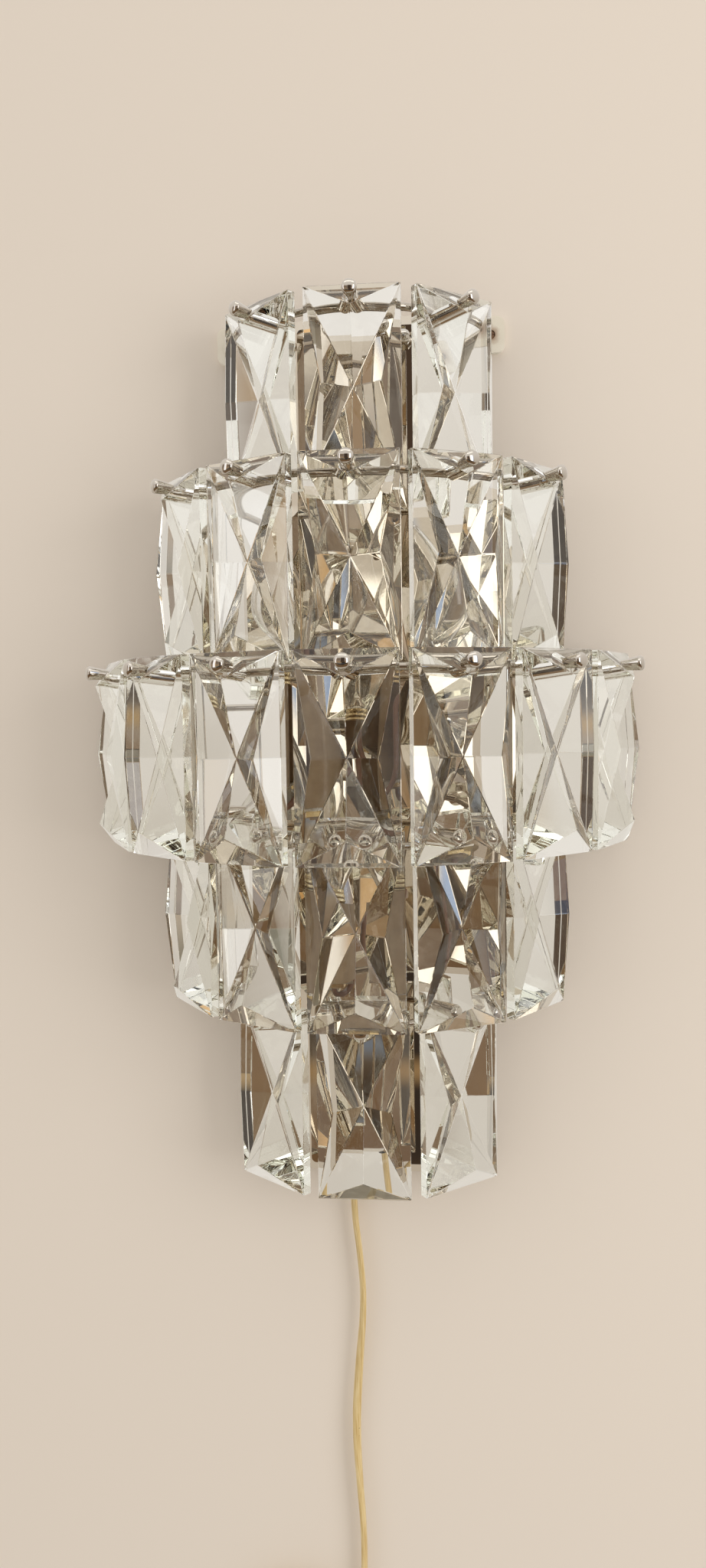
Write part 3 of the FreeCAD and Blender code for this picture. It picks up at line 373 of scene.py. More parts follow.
MATERIALS = {
    "crystal": crystal_glass(),
    "rod": worn_metal("rod_nickel", (0.50, 0.45, 0.385), bright=0.05, dull=0.15),
    "pin": worn_metal("pin_nickel", (0.64, 0.59, 0.53), bright=0.02, dull=0.08),
    "nut": worn_metal("nut_nickel", (0.68, 0.64, 0.58), bright=0.05, dull=0.14),
    "steel": worn_metal("zinc_steel", (0.62, 0.61, 0.58), bright=0.25, dull=0.45),
    "mirror": mirror_metal(),
    "paint": cream_paint(),
    "arm": worn_metal("arm_steel", (0.58, 0.55, 0.50), bright=0.22, dull=0.42),
    "rust": plain_finish(
        "rusty_screw", (0.10, 0.05, 0.03), (0.24, 0.13, 0.07), roughness=0.7, scale=700.0
    ),
    "sleeve": plain_finish(
        "holder_sleeve", (0.34, 0.235, 0.14), (0.44, 0.32, 0.20), roughness=0.22
    ),
    "brass": worn_metal("brass", (0.78, 0.62, 0.34), bright=0.18, dull=0.36),
    "cap": worn_metal("cap_brass", (0.80, 0.70, 0.48), bright=0.14, dull=0.3),
    "bulb": bulb_glass(),
    "filament": worn_metal("filament_wire", (0.42, 0.41, 0.40), bright=0.25, dull=0.45),
    "lead": plain_finish("lead_sleeve", (0.21, 0.10, 0.06), (0.30, 0.15, 0.09), roughness=0.42),
    "block": plain_finish(
        "block_moulding", (0.74, 0.71, 0.62), (0.84, 0.81, 0.73), roughness=0.35
    ),
    "rubber": plain_finish("bush_rubber", (0.03, 0.03, 0.03), (0.06, 0.055, 0.05), roughness=0.6),
    "cord": cord_sheath(),
    "tie": plain_finish(
        "tie_strap", (0.04, 0.04, 0.04), (0.09, 0.09, 0.085), roughness=0.7, scale=300.0
    ),
    "plug": plain_finish("plug_moulding", (0.62, 0.51, 0.31), (0.72, 0.62, 0.42), roughness=0.4),
}


# Meshes


def new_object(name, mesh, material):
    item = bpy.data.objects.new(name, mesh)
    SCENE.collection.objects.link(item)
    mesh.materials.clear()
    mesh.materials.append(material)
    return item


def finish_piece(item, body, slot, *nodes):
    """Puts a piece on its body and hides the solids it stands for."""
    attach(item, body)
    if nodes:
        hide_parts(*nodes)


def soften(work, angle):
    """Smooth shading, but for edges that turn by more than an angle in degrees."""
    limit = math.radians(angle)
    for edge in work.edges:
        edge.smooth = len(edge.link_faces) == 2 and edge.calc_face_angle(math.pi) < limit
    for face in work.faces:
        face.smooth = True


def plain_mesh(work, name):
    """The finished mesh of a bmesh."""
    mesh = bpy.data.meshes.new(name)
    work.to_mesh(mesh)
    work.free()
    return mesh


def smooth_copy(node, material, slot, angle=32.0):
    """A merged copy of a solid that doesn't move, smooth but for its real edges."""
    work = bmesh.new()
    work.from_mesh(NODES[node].data)
    bmesh.ops.remove_doubles(work, verts=work.verts, dist=1e-6)
    soften(work, angle)
    item = new_object(node + "_fine", plain_mesh(work, node), MATERIALS[material])
    finish_piece(item, "frame", slot, node)


def in_metres(profile_mm):
    return [(radius * MM, height * MM) for radius, height in profile_mm]


def scaled(profile, radius, height):
    """A turned profile from its shares of a radius and a height."""
    return [(radius * across, height * up) for across, up in profile]


def lathe(name, profile, material, sides=40, angle=35.0):
    """A closed piece turned round z from a profile in metres, smooth but for its edges."""
    work = bmesh.new()
    rings = []
    for radius, height in profile:
        if radius == 0.0:
            rings.append([work.verts.new((0.0, 0.0, height))])
            continue
        rings.append([
            work.verts.new((
                radius * math.cos(2 * math.pi * side / sides),
                radius * math.sin(2 * math.pi * side / sides),
                height,
            ))
            for side in range(sides)
        ])
    for lower, upper in zip(rings, rings[1:]):
        for side in range(sides):
            after = (side + 1) % sides
            corners = [lower[side % len(lower)], lower[after % len(lower)],
                       upper[after % len(upper)], upper[side % len(upper)]]
            unique = list(dict.fromkeys(corners))
            if len(unique) > 2:
                work.faces.new(unique)
    bmesh.ops.recalc_face_normals(work, faces=work.faces)
    soften(work, angle)
    return new_object(name, plain_mesh(work, name), material)


def bake(item):
    """Turns an object with modifiers into the plain mesh that they make."""
    graph = bpy.context.evaluated_depsgraph_get()
    mesh = bpy.data.meshes.new_from_object(item.evaluated_get(graph))
    item.modifiers.clear()
    item.data = mesh


def cut_away(item, tool):
    """Cuts the tool's shape out of a piece, and deletes the tool."""
    cut = item.modifiers.new("cut", "BOOLEAN")
    cut.object = tool
    cut.solver = "EXACT"
    bpy.context.view_layer.update()
    bake(item)
    bpy.data.objects.remove(tool)


# Trees of geometry nodes


class Recipe:
    """A geometry node tree with named number inputs, put on an object as a modifier."""

    def __init__(self, name, **numbers):
        self.tree = bpy.data.node_groups.new(name, "GeometryNodeTree")
        sockets = self.tree.interface
        sockets.new_socket("Geometry", in_out="INPUT", socket_type="NodeSocketGeometry")
        for label, value in numbers.items():
            kind = "NodeSocketInt" if isinstance(value, int) else "NodeSocketFloat"
            sockets.new_socket(label, in_out="INPUT", socket_type=kind).default_value = value
        sockets.new_socket("Geometry", in_out="OUTPUT", socket_type="NodeSocketGeometry")
        self.start = self.tree.nodes.new("NodeGroupInput")
        self.end = self.tree.nodes.new("NodeGroupOutput")

    def value(self, label):
        """One of the tree's named inputs."""
        return self.start.outputs[label]

    def add(self, kind, *sources, **settings):
        """A node with its inputs, in order, from sockets or plain values."""
        item = self.tree.nodes.new(kind)
        for key, value in settings.items():
            setattr(item, key, value)
        for target, source in zip([s for s in item.inputs if s.enabled], sources):
            if source is None:
                continue
            if isinstance(source, bpy.types.NodeSocket):
                self.tree.links.new(source, target)
            else:
                target.default_value = source
        return item

    def join(self, source, item, label):
        """Joins an output to one input of a node, by its name."""
        self.tree.links.new(source, item.inputs[label])

    def math(self, operation, *sources):
        return self.add("ShaderNodeMath", *sources, operation=operation).outputs[0]

    def vector(self, x, y, z):
        return self.add("ShaderNodeCombineXYZ", x, y, z).outputs[0]

    def close(self, geometry, material):
        """Ends in real meshes with their material."""
        real = self.add("GeometryNodeRealizeInstances", geometry)
        painted = self.add("GeometryNodeSetMaterial", real.outputs[0], None, material)
        self.tree.links.new(painted.outputs[0], self.end.inputs[0])

    def run_on(self, item, **numbers):
        """Runs the tree on an object with these inputs and keeps the plain mesh it makes."""
        modifier = item.modifiers.new(self.tree.name, "NODES")
        modifier.node_group = self.tree
        for socket in self.tree.interface.items_tree:
            if socket.in_out == "INPUT" and socket.name in numbers:
                modifier[socket.identifier] = numbers[socket.name]
        bake(item)


def pins_on_rod_recipe():
    """The input piece, once for each crystal, standing outwards along a bent rod."""
    recipe = Recipe(
        "pins_on_rod", count=3, radius=0.1, step=0.5, level=0.0, axis_depth=0.03, lean=0.1
    )
    places = recipe.add("GeometryNodePoints", recipe.value("count"))
    index = recipe.add("GeometryNodeInputIndex").outputs[0]
    last = recipe.math("SUBTRACT", recipe.value("count"), 1.0)
    offset = recipe.math("SUBTRACT", index, recipe.math("MULTIPLY", last, 0.5))
    azimuth = recipe.math("MULTIPLY", offset, recipe.value("step"))
    side = recipe.math("MULTIPLY", recipe.value("radius"), recipe.math("SINE", azimuth))
    reach = recipe.math("MULTIPLY", recipe.value("radius"), recipe.math("COSINE", azimuth))
    depth = recipe.math("SUBTRACT", recipe.value("axis_depth"), reach)
    spot = recipe.vector(side, depth, recipe.value("level"))
    moved = recipe.add("GeometryNodeSetPosition", places.outputs[0], None, spot)
    tilt = recipe.math("SUBTRACT", math.pi / 2, recipe.value("lean"))
    turn = recipe.vector(tilt, 0.0, azimuth)
    pins = recipe.add("GeometryNodeInstanceOnPoints")
    recipe.join(moved.outputs[0], pins, "Points")
    recipe.join(recipe.start.outputs["Geometry"], pins, "Instance")
    recipe.join(turn, pins, "Rotation")
    recipe.close(pins.outputs[0], MATERIALS["pin"])
    return recipe


def repeat_in_row(item, material, count, **steps):
    """Repeats a finished piece at even steps along one line, from where it stands."""
    recipe = Recipe("row", count=2, step_x=0.0, step_y=0.0, step_z=0.0)
    step = recipe.vector(recipe.value("step_x"), recipe.value("step_y"), recipe.value("step_z"))
    line = recipe.add("GeometryNodeMeshLine", mode="OFFSET")
    recipe.join(recipe.value("count"), line, "Count")
    recipe.join(step, line, "Offset")
    copies = recipe.add("GeometryNodeInstanceOnPoints")
    recipe.join(line.outputs[0], copies, "Points")
    recipe.join(recipe.start.outputs["Geometry"], copies, "Instance")
    recipe.close(copies.outputs[0], material)
    recipe.run_on(item, count=count, **steps)


def coil_of_wire(name, material, turns, radius, length, wire):
    """A coil of round wire that starts at the origin and runs along z."""
    recipe = Recipe(name, turns=10.0, radius=0.001, length=0.01, wire=0.0001)
    spiral = recipe.add("GeometryNodeCurveSpiral")
    spiral.inputs["Resolution"].default_value = 10
    for label, source in (("Rotations", "turns"), ("Start Radius", "radius"),
                          ("End Radius", "radius"), ("Height", "length")):
        recipe.join(recipe.value(source), spiral, label)
    section = recipe.add("GeometryNodeCurvePrimitiveCircle")
    section.inputs["Resolution"].default_value = 6
    recipe.join(recipe.value("wire"), section, "Radius")
    tube = recipe.add("GeometryNodeCurveToMesh", spiral.outputs[0], section.outputs[0])
    tube.inputs["Fill Caps"].default_value = True
    recipe.close(tube.outputs[0], material)
    item = new_object(name, bpy.data.meshes.new(name), material)
    recipe.run_on(item, turns=turns, radius=radius, length=length, wire=wire)
    return item


# Crystals


FACING_FORWARDS = Matrix.Rotation(math.pi / 2, 4, "X")


def crystal_form():
    """One cut slab before its hole: x along the tier, -y forwards, its top at z = 0."""
    half = CRYSTAL_WIDTH / 2
    back = -CRYSTAL_BACK
    rim = back - RIM_THICKNESS
    middle = -CRYSTAL_HEIGHT / 2
    rim_corners = [(-half, rim, 0.0), (half, rim, 0.0),
                   (half, rim, -CRYSTAL_HEIGHT), (-half, rim, -CRYSTAL_HEIGHT)]
    peaks = [
        (0.0, rim - END_PEAK_RISE, -END_PEAK_INSET),
        (half - SIDE_PEAK_INSET, rim - SIDE_PEAK_RISE, middle),
        (0.0, rim - END_PEAK_RISE, END_PEAK_INSET - CRYSTAL_HEIGHT),
        (SIDE_PEAK_INSET - half, rim - SIDE_PEAK_RISE, middle),
    ]
    work = bmesh.new()
    front = [work.verts.new(spot) for spot in rim_corners]
    rear = [work.verts.new((x, back, z)) for x, _, z in rim_corners]
    tops = [work.verts.new(spot) for spot in peaks]
    centre = work.verts.new((0.0, rim + STAR_DIP, middle))
    work.faces.new(rear)
    for index in range(4):
        after = (index + 1) % 4
        work.faces.new((front[index], front[after], rear[after], rear[index]))
        work.faces.new((front[index], front[after], tops[index]))
        work.faces.new((front[index], tops[index], centre))
        work.faces.new((front[after], tops[index], centre))
    bmesh.ops.recalc_face_normals(work, faces=work.faces)
    bmesh.ops.bevel(
        work, geom=list(work.edges), offset=GROUND_EDGE, segments=2, profile=0.6, affect="EDGES"
    )
    return plain_mesh(work, "crystal_form")


def crystal_with_hole():
    """The slab, drilled through near its top."""
    slab = new_object("slab_form", crystal_form(), MATERIALS["crystal"])
    start, end = -20.0 * MM, 40.0 * MM
    drill = lathe(
        "drill_form",
        [(0.0, start), (HOLE_RADIUS, start), (HOLE_RADIUS, end), (0.0, end)],
        MATERIALS["crystal"],
        sides=HOLE_SIDES,
    )
    drill.data.transform(Matrix.Translation((0.0, 0.0, -HOLE_DROP)) @ FACING_FORWARDS)
    cut_away(slab, drill)
    mesh = slab.data
    bpy.data.objects.remove(slab)
    for face in mesh.polygons:
        face.use_smooth = False
    return mesh


def hang_crystals():
    """One slab on each hinge, turned to its place on the rod."""
    form = crystal_with_hole()
    for body, joint in JOINTS.items():
        node = body.replace("slab", "crystal")
        pin_x, pin_y, _ = joint["axis"]
        azimuth = math.atan2(pin_x, -pin_y)
        x, y, _ = joint["pos_m"]
        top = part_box(node)[1].z
        mesh = form.copy()
        mesh.transform(Matrix.Translation((x, y, top)) @ Matrix.Rotation(azimuth, 4, "Z"))
        slab = new_object(node + "_cut", mesh, MATERIALS["crystal"])
        finish_piece(slab, body, "crystal", node)


# Rods and pins


def make_rods_and_pins():
    """The bent rods, and each tier's pins at even steps along its rod."""
    recipe = pins_on_rod_recipe()
    for tier, count in enumerate(TIERS, start=1):
        smooth_copy("ring_%d" % tier, "rod", "nickel_rod")
        middle_place = (count + 1) // 2
        middle = JOINTS["slab_%d_%d" % (tier, middle_place)]["pos_m"]
        beside = JOINTS["slab_%d_%d" % (tier, middle_place + 1)]["pos_m"]
        radius = ROD_AXIS_DEPTH - middle[1]
        pins = lathe(
            "pins_%d_turned" % tier, in_metres(PIN_PROFILE_MM), MATERIALS["pin"], sides=32
        )
        recipe.run_on(
            pins,
            count=count,
            radius=radius,
            step=math.asin(beside[0] / radius),
            level=middle[2],
            axis_depth=ROD_AXIS_DEPTH,
            lean=PIN_LEAN,
        )
        finish_piece(pins, "frame", "nickel_pin", "pins_%d" % tier)


# Plate, bar and fasteners


def screws(name, material, slot, first, radius, height, count, **steps):
    """A row of slotted heads that face forwards, the first seated at a place."""
    heads = lathe(name, scaled(HEAD_PROFILE, radius, height), material, sides=28)
    block = lathe(name + "_slot", [(0.0, 0.0), (1.0, 0.0), (1.0, 1.0), (0.0, 1.0)], material, 4)
    block.data.transform(
        Matrix.Translation((0.0, 0.0, SLOT_FLOOR * height))
        @ Matrix.Diagonal((2 * radius, SLOT_WIDTH * radius, height, 1.0))
        @ Matrix.Rotation(math.pi / 4, 4, "Z")
    )
    cut_away(heads, block)
    heads.data.transform(Matrix.Translation(first) @ FACING_FORWARDS)
    repeat_in_row(heads, material, count, **steps)
    finish_piece(heads, "frame", slot)


def thread_ridge(name, radius, pitch, depth, material):
    """One turn of a thread, as a disc with a rounded edge round z."""
    root, shoulder = radius - depth, radius - 0.2 * depth
    overlap = 1.02 * pitch
    profile = [(0.0, 0.0), (root, 0.0), (shoulder, 0.35 * pitch), (radius, 0.5 * pitch),
               (shoulder, 0.65 * pitch), (root, overlap), (0.0, overlap)]
    return lathe(name, profile, material, sides=32, angle=50.0)


def make_plate_and_bar():
    smooth_copy("back_plate", "mirror", "mirror_plate")
    smooth_copy("wall_bar", "paint", "cream_paint")
    smooth_copy("dome_nuts", "nut", "nickel_nut")
    smooth_copy("plate_studs", "steel", "zinc_steel")
    low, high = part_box("wall_bar")
    x, _, z = RUSTY_SCREW
    screws(
        "bar_screws", MATERIALS["rust"], "zinc_steel", (-x, low.y / 2, z),
        BAR_SCREW_RADIUS, BAR_SCREW_HEIGHT, count=2, step_x=2 * x,
    )
    make_stud_threads(low.y)


def make_stud_threads(bar_front):
    """The two studs' threads, from the bar to the plate's front."""
    low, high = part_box("plate_studs")
    steel = MATERIALS["steel"]
    radius = (high.z - low.z) / 2
    ridge = thread_ridge(
        "stud_threads", radius + STUD_THREAD_PROUD, STUD_PITCH, STUD_THREAD_DEPTH, steel
    )
    first = (low.x + radius, bar_front, (low.z + high.z) / 2)
    ridge.data.transform(Matrix.Translation(first) @ FACING_FORWARDS)
    count = int((bar_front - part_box("back_plate")[0].y) / STUD_PITCH)
    repeat_in_row(ridge, steel, count, step_y=-STUD_PITCH)
    repeat_in_row(ridge, steel, 2, step_x=high.x - low.x - 2 * radius)
    finish_piece(ridge, "frame", "zinc_steel")


# Lamps


def make_lamps():
    for name in LAMPS:
        smooth_copy("lamp_arm_" + name, "arm", "arm_steel")
        smooth_copy("lampholder_" + name, "sleeve", "holder_sleeve")
        smooth_copy("bulb_glass_" + name, "bulb", "bulb_glass")
        make_cap(name)
        make_filament(name)
        make_arm_screws(name)
    smooth_copy("holder_nuts", "brass", "brass_nut")


def foot_of(node):
    """The middle of a solid's lower end."""
    low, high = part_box(node)
    return Vector(((low.x + high.x) / 2, (low.y + high.y) / 2, low.z))


def make_arm_screws(name):
    """Two screws that hold the arm's tab to the plate."""
    low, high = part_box("lamp_arm_" + name)
    gap = (high.z - low.z) / 2
    first = ((low.x + high.x) / 2, high.y - ARM_SHEET, low.z + gap / 2)
    screws(
        "arm_screws_" + name, MATERIALS["steel"], "zinc_steel", first,
        ARM_SCREW_RADIUS, ARM_SCREW_HEIGHT, count=2, step_z=gap,
    )


def make_cap(name):
    """The cap with its contact and collar, and its rolled thread."""
    node = "bulb_cap_" + name
    foot = foot_of(node)
    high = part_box(node)[1]
    radius, height = high.x - foot.x, high.z - foot.z
    cap = lathe(
        node + "_turned", scaled(CAP_PROFILE, radius, height), MATERIALS["cap"], 36, 60.0
    )
    cap.data.transform(Matrix.Translation(foot))
    finish_piece(cap, "frame", "bulb_cap", node)
    pitch = (CAP_THREAD_END - CAP_THREAD_START) * height / CAP_THREADS
    thread = thread_ridge(
        node + "_thread", radius, pitch, CAP_THREAD_DEPTH * radius, MATERIALS["cap"]
    )
    thread.data.transform(
        Matrix.Translation(foot + Vector((0.0, 0.0, CAP_THREAD_START * height)))
    )
    repeat_in_row(thread, MATERIALS["cap"], CAP_THREADS, step_z=pitch)
    finish_piece(thread, "frame", "bulb_cap")


def make_filament(name):
    """Glass stem, two support wires and the filament between them."""
    foot = foot_of("bulb_glass_" + name)
    stem = lathe(
        "bulb_stem_" + name, in_metres(STEM_PROFILE_MM), MATERIALS["bulb"], sides=24, angle=60.0
    )
    stem.data.transform(Matrix.Translation(foot))
    finish_piece(stem, "frame", "bulb_glass")
    half = FILAMENT_LENGTH / 2
    coil = coil_of_wire(
        "filament_" + name, MATERIALS["filament"],
        FILAMENT_TURNS, FILAMENT_RADIUS, FILAMENT_LENGTH, FILAMENT_WIRE,
    )
    lying = Matrix.Translation(foot + Vector((-half, 0.0, FILAMENT_LEVEL)))
    coil.data.transform(lying @ Matrix.Rotation(math.pi / 2, 4, "Y"))
    finish_piece(coil, "frame", None)
    for side, word in ((-1, "left"), (1, "right")):
        start = foot + Vector((side * FILAMENT_RADIUS, 0.0, STEM_TOP - 1.5 * MM))
        end = foot + Vector((side * half, 0.0, FILAMENT_LEVEL + FILAMENT_RADIUS))
        wire = straight_wire("filament_%s_%s_wire" % (name, word), start, end, SUPPORT_WIRE)
        finish_piece(wire, "frame", None)


def straight_wire(name, start, end, radius):
    run = end - start
    wire = lathe(
        name,
        [(0.0, 0.0), (radius, 0.0), (radius, run.length), (0.0, run.length)],
        MATERIALS["filament"],
        sides=8,
        angle=50.0,
    )
    turn = run.to_track_quat("Z", "Y").to_matrix().to_4x4()
    wire.data.transform(Matrix.Translation(start) @ turn)
    return wire


# Wiring and cord


def make_wiring():
    smooth_copy("leads", "lead", "lead_sleeve", angle=50.0)
    smooth_copy("terminal_block", "block", "block_plastic")
    smooth_copy("cord_grommet", "rubber", "rubber_bush")
    smooth_copy("cord_tie", "tie", "tie_strap")
    smooth_copy("plug_body", "plug", "plug_plastic", angle=50.0)
    smooth_copy("plug_prongs", "pin", "prong_nickel")


def coil_points():
    """The spare cord: in by one pitch a turn, half a turn back a layer, and out again."""
    leg = (COIL_TURNS - COIL_CLIMB) / 2
    # A spline of order 3 cuts inside its points, so they stand a little further out.
    grown = 1 / (0.75 + 0.25 * math.cos(2 * math.pi / COIL_POINTS_PER_TURN))
    x, y, z = COIL_START
    points = []
    for step in range(int(COIL_POINTS_PER_TURN * COIL_TURNS) + 1):
        turns = step / COIL_POINTS_PER_TURN
        if turns < leg:
            radius = COIL_RADIUS - COIL_PITCH * turns
            layer = 0.0
        elif turns < leg + COIL_CLIMB:
            share = (turns - leg) / COIL_CLIMB
            dip = COIL_PITCH * COIL_CLIMB * (share * share - share)
            radius = COIL_RADIUS - COIL_PITCH * leg + dip
            layer = (1 - math.cos(math.pi * share)) / 2
        else:
            radius = COIL_RADIUS - COIL_PITCH * (COIL_TURNS - turns)
            layer = 1.0
        angle = -2 * math.pi * turns
        points.append((
            x - COIL_RADIUS + radius * grown * math.cos(angle),
            y - COIL_PITCH * layer,
            z + radius * grown * math.sin(angle),
        ))
    depth = points[-1][1]
    for drop in (COIL_TAIL / 3, 2 * COIL_TAIL / 3, COIL_TAIL):
        points.append((x, depth, z - drop))
    return points


def cord_centreline():
    """The points of one smooth spline along the whole cord, from block to plug."""
    route = [Vector(spot) * MM for spot in CORD_ROUTE + coil_points()]
    data = bpy.data.curves.new("cord_line", "CURVE")
    data.dimensions = "3D"
    data.resolution_u = 8
    spline = data.splines.new("NURBS")
    spline.points.add(len(route) - 1)
    for point, spot in zip(spline.points, route):
        point.co = (*spot, 1.0)
    spline.order_u = 3
    spline.use_endpoint_u = True
    line = bpy.data.objects.new("cord_line", data)
    SCENE.collection.objects.link(line)
    graph = bpy.context.evaluated_depsgraph_get()
    mesh = bpy.data.meshes.new_from_object(line.evaluated_get(graph))
    points = [vertex.co.copy() for vertex in mesh.vertices]
    bpy.data.objects.remove(line)
    return points


def cord_rings(work, points, lengths):
    """Flat oval rings of corners along the cord, which turn slowly to and fro."""
    rings = []
    across = Vector((1.0, 0.0, 0.0))
    for index, point in enumerate(points):
        before = points[max(index - 1, 0)]
        after = points[min(index + 1, len(points) - 1)]
        heading = (after - before).normalized()
        across = (across - heading * across.dot(heading)).normalized()
        outwards = heading.cross(across)
        twist = CORD_TWIST * math.sin(lengths[index] / CORD_TWIST_LENGTH)
        ring = []
        for side in range(CORD_SIDES):
            angle = 2 * math.pi * side / CORD_SIDES
            x = CORD_WIDTH / 2 * math.cos(angle)
            y = CORD_THICKNESS / 2 * math.sin(angle)
            wide = x * math.cos(twist) - y * math.sin(twist)
            thick = x * math.sin(twist) + y * math.cos(twist)
            ring.append(work.verts.new(point + across * wide + outwards * thick))
        rings.append(ring)
    return rings


def make_cord():
    """The flat sheath, from the terminal block to the plug, with a pattern along it."""
    points = cord_centreline()
    lengths = [0.0]
    for one, other in zip(points, points[1:]):
        lengths.append(lengths[-1] + (other - one).length)
    work = bmesh.new()
    layer = work.loops.layers.uv.new("UVMap")
    rings = cord_rings(work, points, lengths)
    for index, (lower, upper) in enumerate(zip(rings, rings[1:])):
        for side in range(CORD_SIDES):
            after = (side + 1) % CORD_SIDES
            face = work.faces.new((lower[side], lower[after], upper[after], upper[side]))
            face.smooth = True
            run = (lengths[index], lengths[index], lengths[index + 1], lengths[index + 1])
            turn = (side, side + 1, side + 1, side)
            for loop, along, around in zip(face.loops, run, turn):
                loop[layer].uv = (around / CORD_SIDES, along / CORD_PATTERN_LENGTH)
    work.faces.new(rings[0])
    work.faces.new(rings[-1])
    bmesh.ops.recalc_face_normals(work, faces=work.faces)
    cord = new_object("cord_flex", plain_mesh(work, "cord_flex"), MATERIALS["cord"])
    finish_piece(cord, "frame", "cord_sheath", "cord", "cord_coil")


# Light and surroundings


WALL_TONE = (0.745, 0.675, 0.60)


def open_behind(finish):
    """Lets the stage be looked through from its rear, and lets light reach the piece there."""
    rays = finish.node("ShaderNodeLightPath").outputs
    passing = finish.node("ShaderNodeNewGeometry").outputs["Backfacing"]
    for kind in ("Is Shadow Ray", "Is Diffuse Ray", "Is Glossy Ray"):
        passing = finish.math("MAXIMUM", passing, rays[kind])
    both = finish.node("ShaderNodeMixShader")
    clear = finish.node("ShaderNodeBsdfTransparent")
    for target, source in zip(
        both.inputs, (passing, finish.shader.outputs["BSDF"], clear.outputs["BSDF"])
    ):
        finish.feed(target, source)
    finish.feed(finish.tree.nodes["Material Output"].inputs["Surface"], both.outputs[0])


def add_stage():
    """A pale wall just behind the piece and a pale floor far below."""
    side, top, floor, front, behind = 2.0, 1.6, -1.2, -1.2, 0.8 * MM
    for name, corners in (
        ("wall_backdrop", [(-side, behind, floor), (side, behind, floor),
                           (side, behind, top), (-side, behind, top)]),
        ("floor", [(-side, behind, floor), (-side, front, floor),
                   (side, front, floor), (side, behind, floor)]),
    ):
        finish = Finish(name + "_finish", base_color=full_colour(WALL_TONE), roughness=0.9)
        open_behind(finish)
        mesh = bpy.data.meshes.new(name)
        mesh.from_pydata(corners, [], [(0, 1, 2, 3)])
        new_object(name, mesh, finish.material)


# Each lamp: name, place, width, height, power in watts, and tone.
STUDIO_LAMPS = [
    ("key", (1.5, -1.1, -0.1), 0.9, 1.2, 13.0, (1.0, 0.98, 0.96)),
    ("fill", (-1.6, -1.2, 0.1), 0.9, 1.4, 3.0, (0.95, 0.97, 1.0)),
    ("top", (0.1, -0.7, 1.4), 1.0, 0.6, 1.5, (1.0, 0.99, 0.97)),
]


def add_lights():
    """Soft lamps that shade the piece; the surround is what glass and metal show."""
    aim = Vector((0.0, 0.0, -0.2))
    for name, place, width, height, power, tone in STUDIO_LAMPS:
        data = bpy.data.lights.new(name, "AREA")
        data.shape = "RECTANGLE"
        data.size = width
        data.size_y = height
        data.energy = power
        data.color = tone
        item = bpy.data.objects.new(name, data)
        item.location = place
        item.rotation_euler = (aim - Vector(place)).to_track_quat("-Z", "Y").to_euler()
        item.visible_glossy = False
        item.visible_transmission = False
        SCENE.collection.objects.link(item)


# Tones of the plain surround by height, from straight down (0) to straight up (1).
SURROUND = [
    (0.0, (0.60, 0.55, 0.48)),
    (0.45, (0.66, 0.61, 0.54)),
    (0.56, (0.76, 0.71, 0.65)),
    (0.7, (0.90, 0.87, 0.83)),
    (1.0, (0.96, 0.94, 0.91)),
]
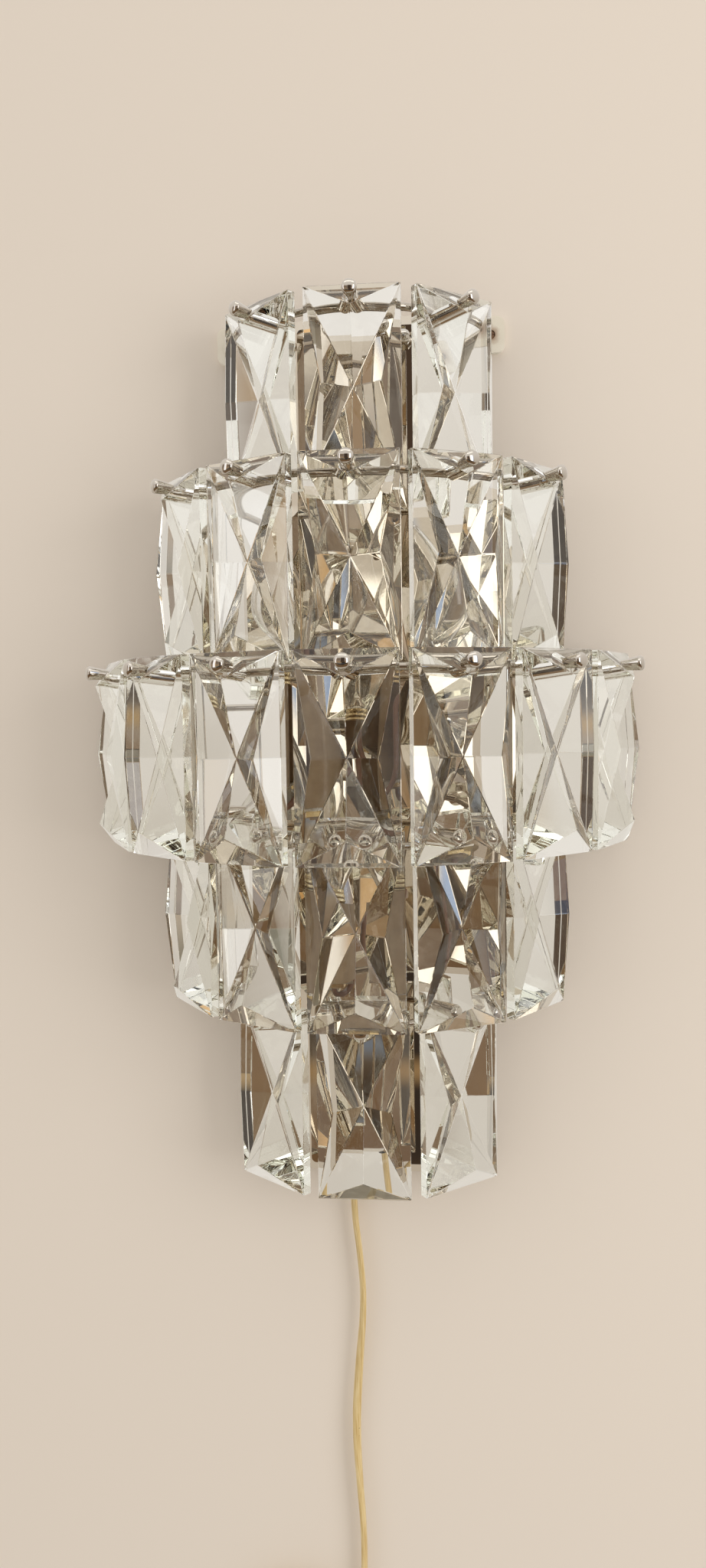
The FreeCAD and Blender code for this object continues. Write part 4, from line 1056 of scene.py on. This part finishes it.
# Studio cards, which only mirrored rays show: from and to in degrees sideways (0 is straight
# out from the wall, more is to the viewer's right), from and to in degrees of height, softness
# of the edges in degrees, and tone.
STUDIO_CARDS = [
    # Dark cards
    (-86, 78, -52, -18, 4.0, (0.19, 0.115, 0.06)),
    (-86, 54, -18, -7, 2.0, (0.22, 0.15, 0.09)),
    (-82, 54, -7, -1, 2.0, (0.24, 0.22, 0.17)),
    (-82, 54, -1, 9, 2.0, (0.40, 0.28, 0.17)),
    (-82, -11, 9, 26, 3.0, (0.27, 0.205, 0.155)),
    (-11, 50, 9, 24, 3.0, (0.44, 0.40, 0.38)),
    (-40, 44, -18, -7, 2.0, (0.05, 0.037, 0.028)),
    (-6, 16, -24, 3, 2.0, (0.045, 0.035, 0.028)),
    (-11, 12, 2, 28, 2.0, (0.08, 0.055, 0.04)),
    # Thin coloured lines between them
    (-60, 54, -19, -18, 0.5, (0.36, 0.24, 0.12)),
    (-60, 54, -7.2, -6.4, 0.5, (0.21, 0.27, 0.38)),
    # A bright card with an orange and a blue edge
    (24.5, 27, -6, 30, 1.0, (1.20, 0.82, 0.42)),
    (49, 51.5, -6, 30, 1.0, (0.55, 0.78, 1.30)),
    (27, 49, -6, 30, 0.8, (2.4, 2.4, 2.4)),
    # A second one with an orange edge, and a long one overhead
    (-66, -50, -6, 32, 1.5, (1.5, 1.53, 1.60)),
    (-50, -47.5, -6, 32, 0.8, (0.85, 0.60, 0.34)),
    (-70, 70, 50, 63, 2.0, (1.8, 1.78, 1.72)),
]


def add_world():
    """A plain pale surround, and the studio's dark and bright cards in what metal mirrors."""
    world = bpy.data.worlds.new("surround")
    SCENE.world = world
    world.use_nodes = True
    nodes = Nodes(world.node_tree)
    way = nodes.node("ShaderNodeTexCoord").outputs["Generated"]
    parts = nodes.node("ShaderNodeSeparateXYZ", Vector=way).outputs
    height = nodes.math("DEGREES", nodes.math("ARCSINE", parts["Z"]))
    ahead = nodes.math("MULTIPLY", parts["Y"], -1.0)
    side = nodes.math("DEGREES", nodes.math("ARCTAN2", parts["X"], ahead))

    def within(source, low, high, soft):
        """1 between two angles, 0 outside, with soft ends."""
        steps = []
        for edge in (low, high):
            item = nodes.node("ShaderNodeMapRange", interpolation_type="SMOOTHSTEP", Value=source)
            item.inputs["From Min"].default_value = edge - soft
            item.inputs["From Max"].default_value = edge + soft
            steps.append(item.outputs["Result"])
        return nodes.math("SUBTRACT", *steps)

    plain = nodes.ramp(nodes.math("MULTIPLY_ADD", height, 1 / 180, 0.5), SURROUND)
    tone = plain
    for left, right, low, high, soft, colour in STUDIO_CARDS:
        share = nodes.math(
            "MULTIPLY", within(side, left, right, soft), within(height, low, high, soft)
        )
        tone = nodes.mix(share, tone, colour)
    mirrored = nodes.node("ShaderNodeLightPath").outputs["Glossy Depth"]
    seen = nodes.mix(nodes.math("MINIMUM", mirrored, 1.0), plain, tone)
    nodes.feed(world.node_tree.nodes["Background"].inputs["Color"], seen)


SCENE.view_settings.view_transform = "Standard"
SCENE.cycles.max_bounces = 20
SCENE.cycles.glossy_bounces = 12
SCENE.cycles.transmission_bounces = 16
add_camera()
make_wiring()
make_cord()
hang_crystals()
make_rods_and_pins()
make_plate_and_bar()
make_lamps()
add_stage()
add_world()
add_lights()
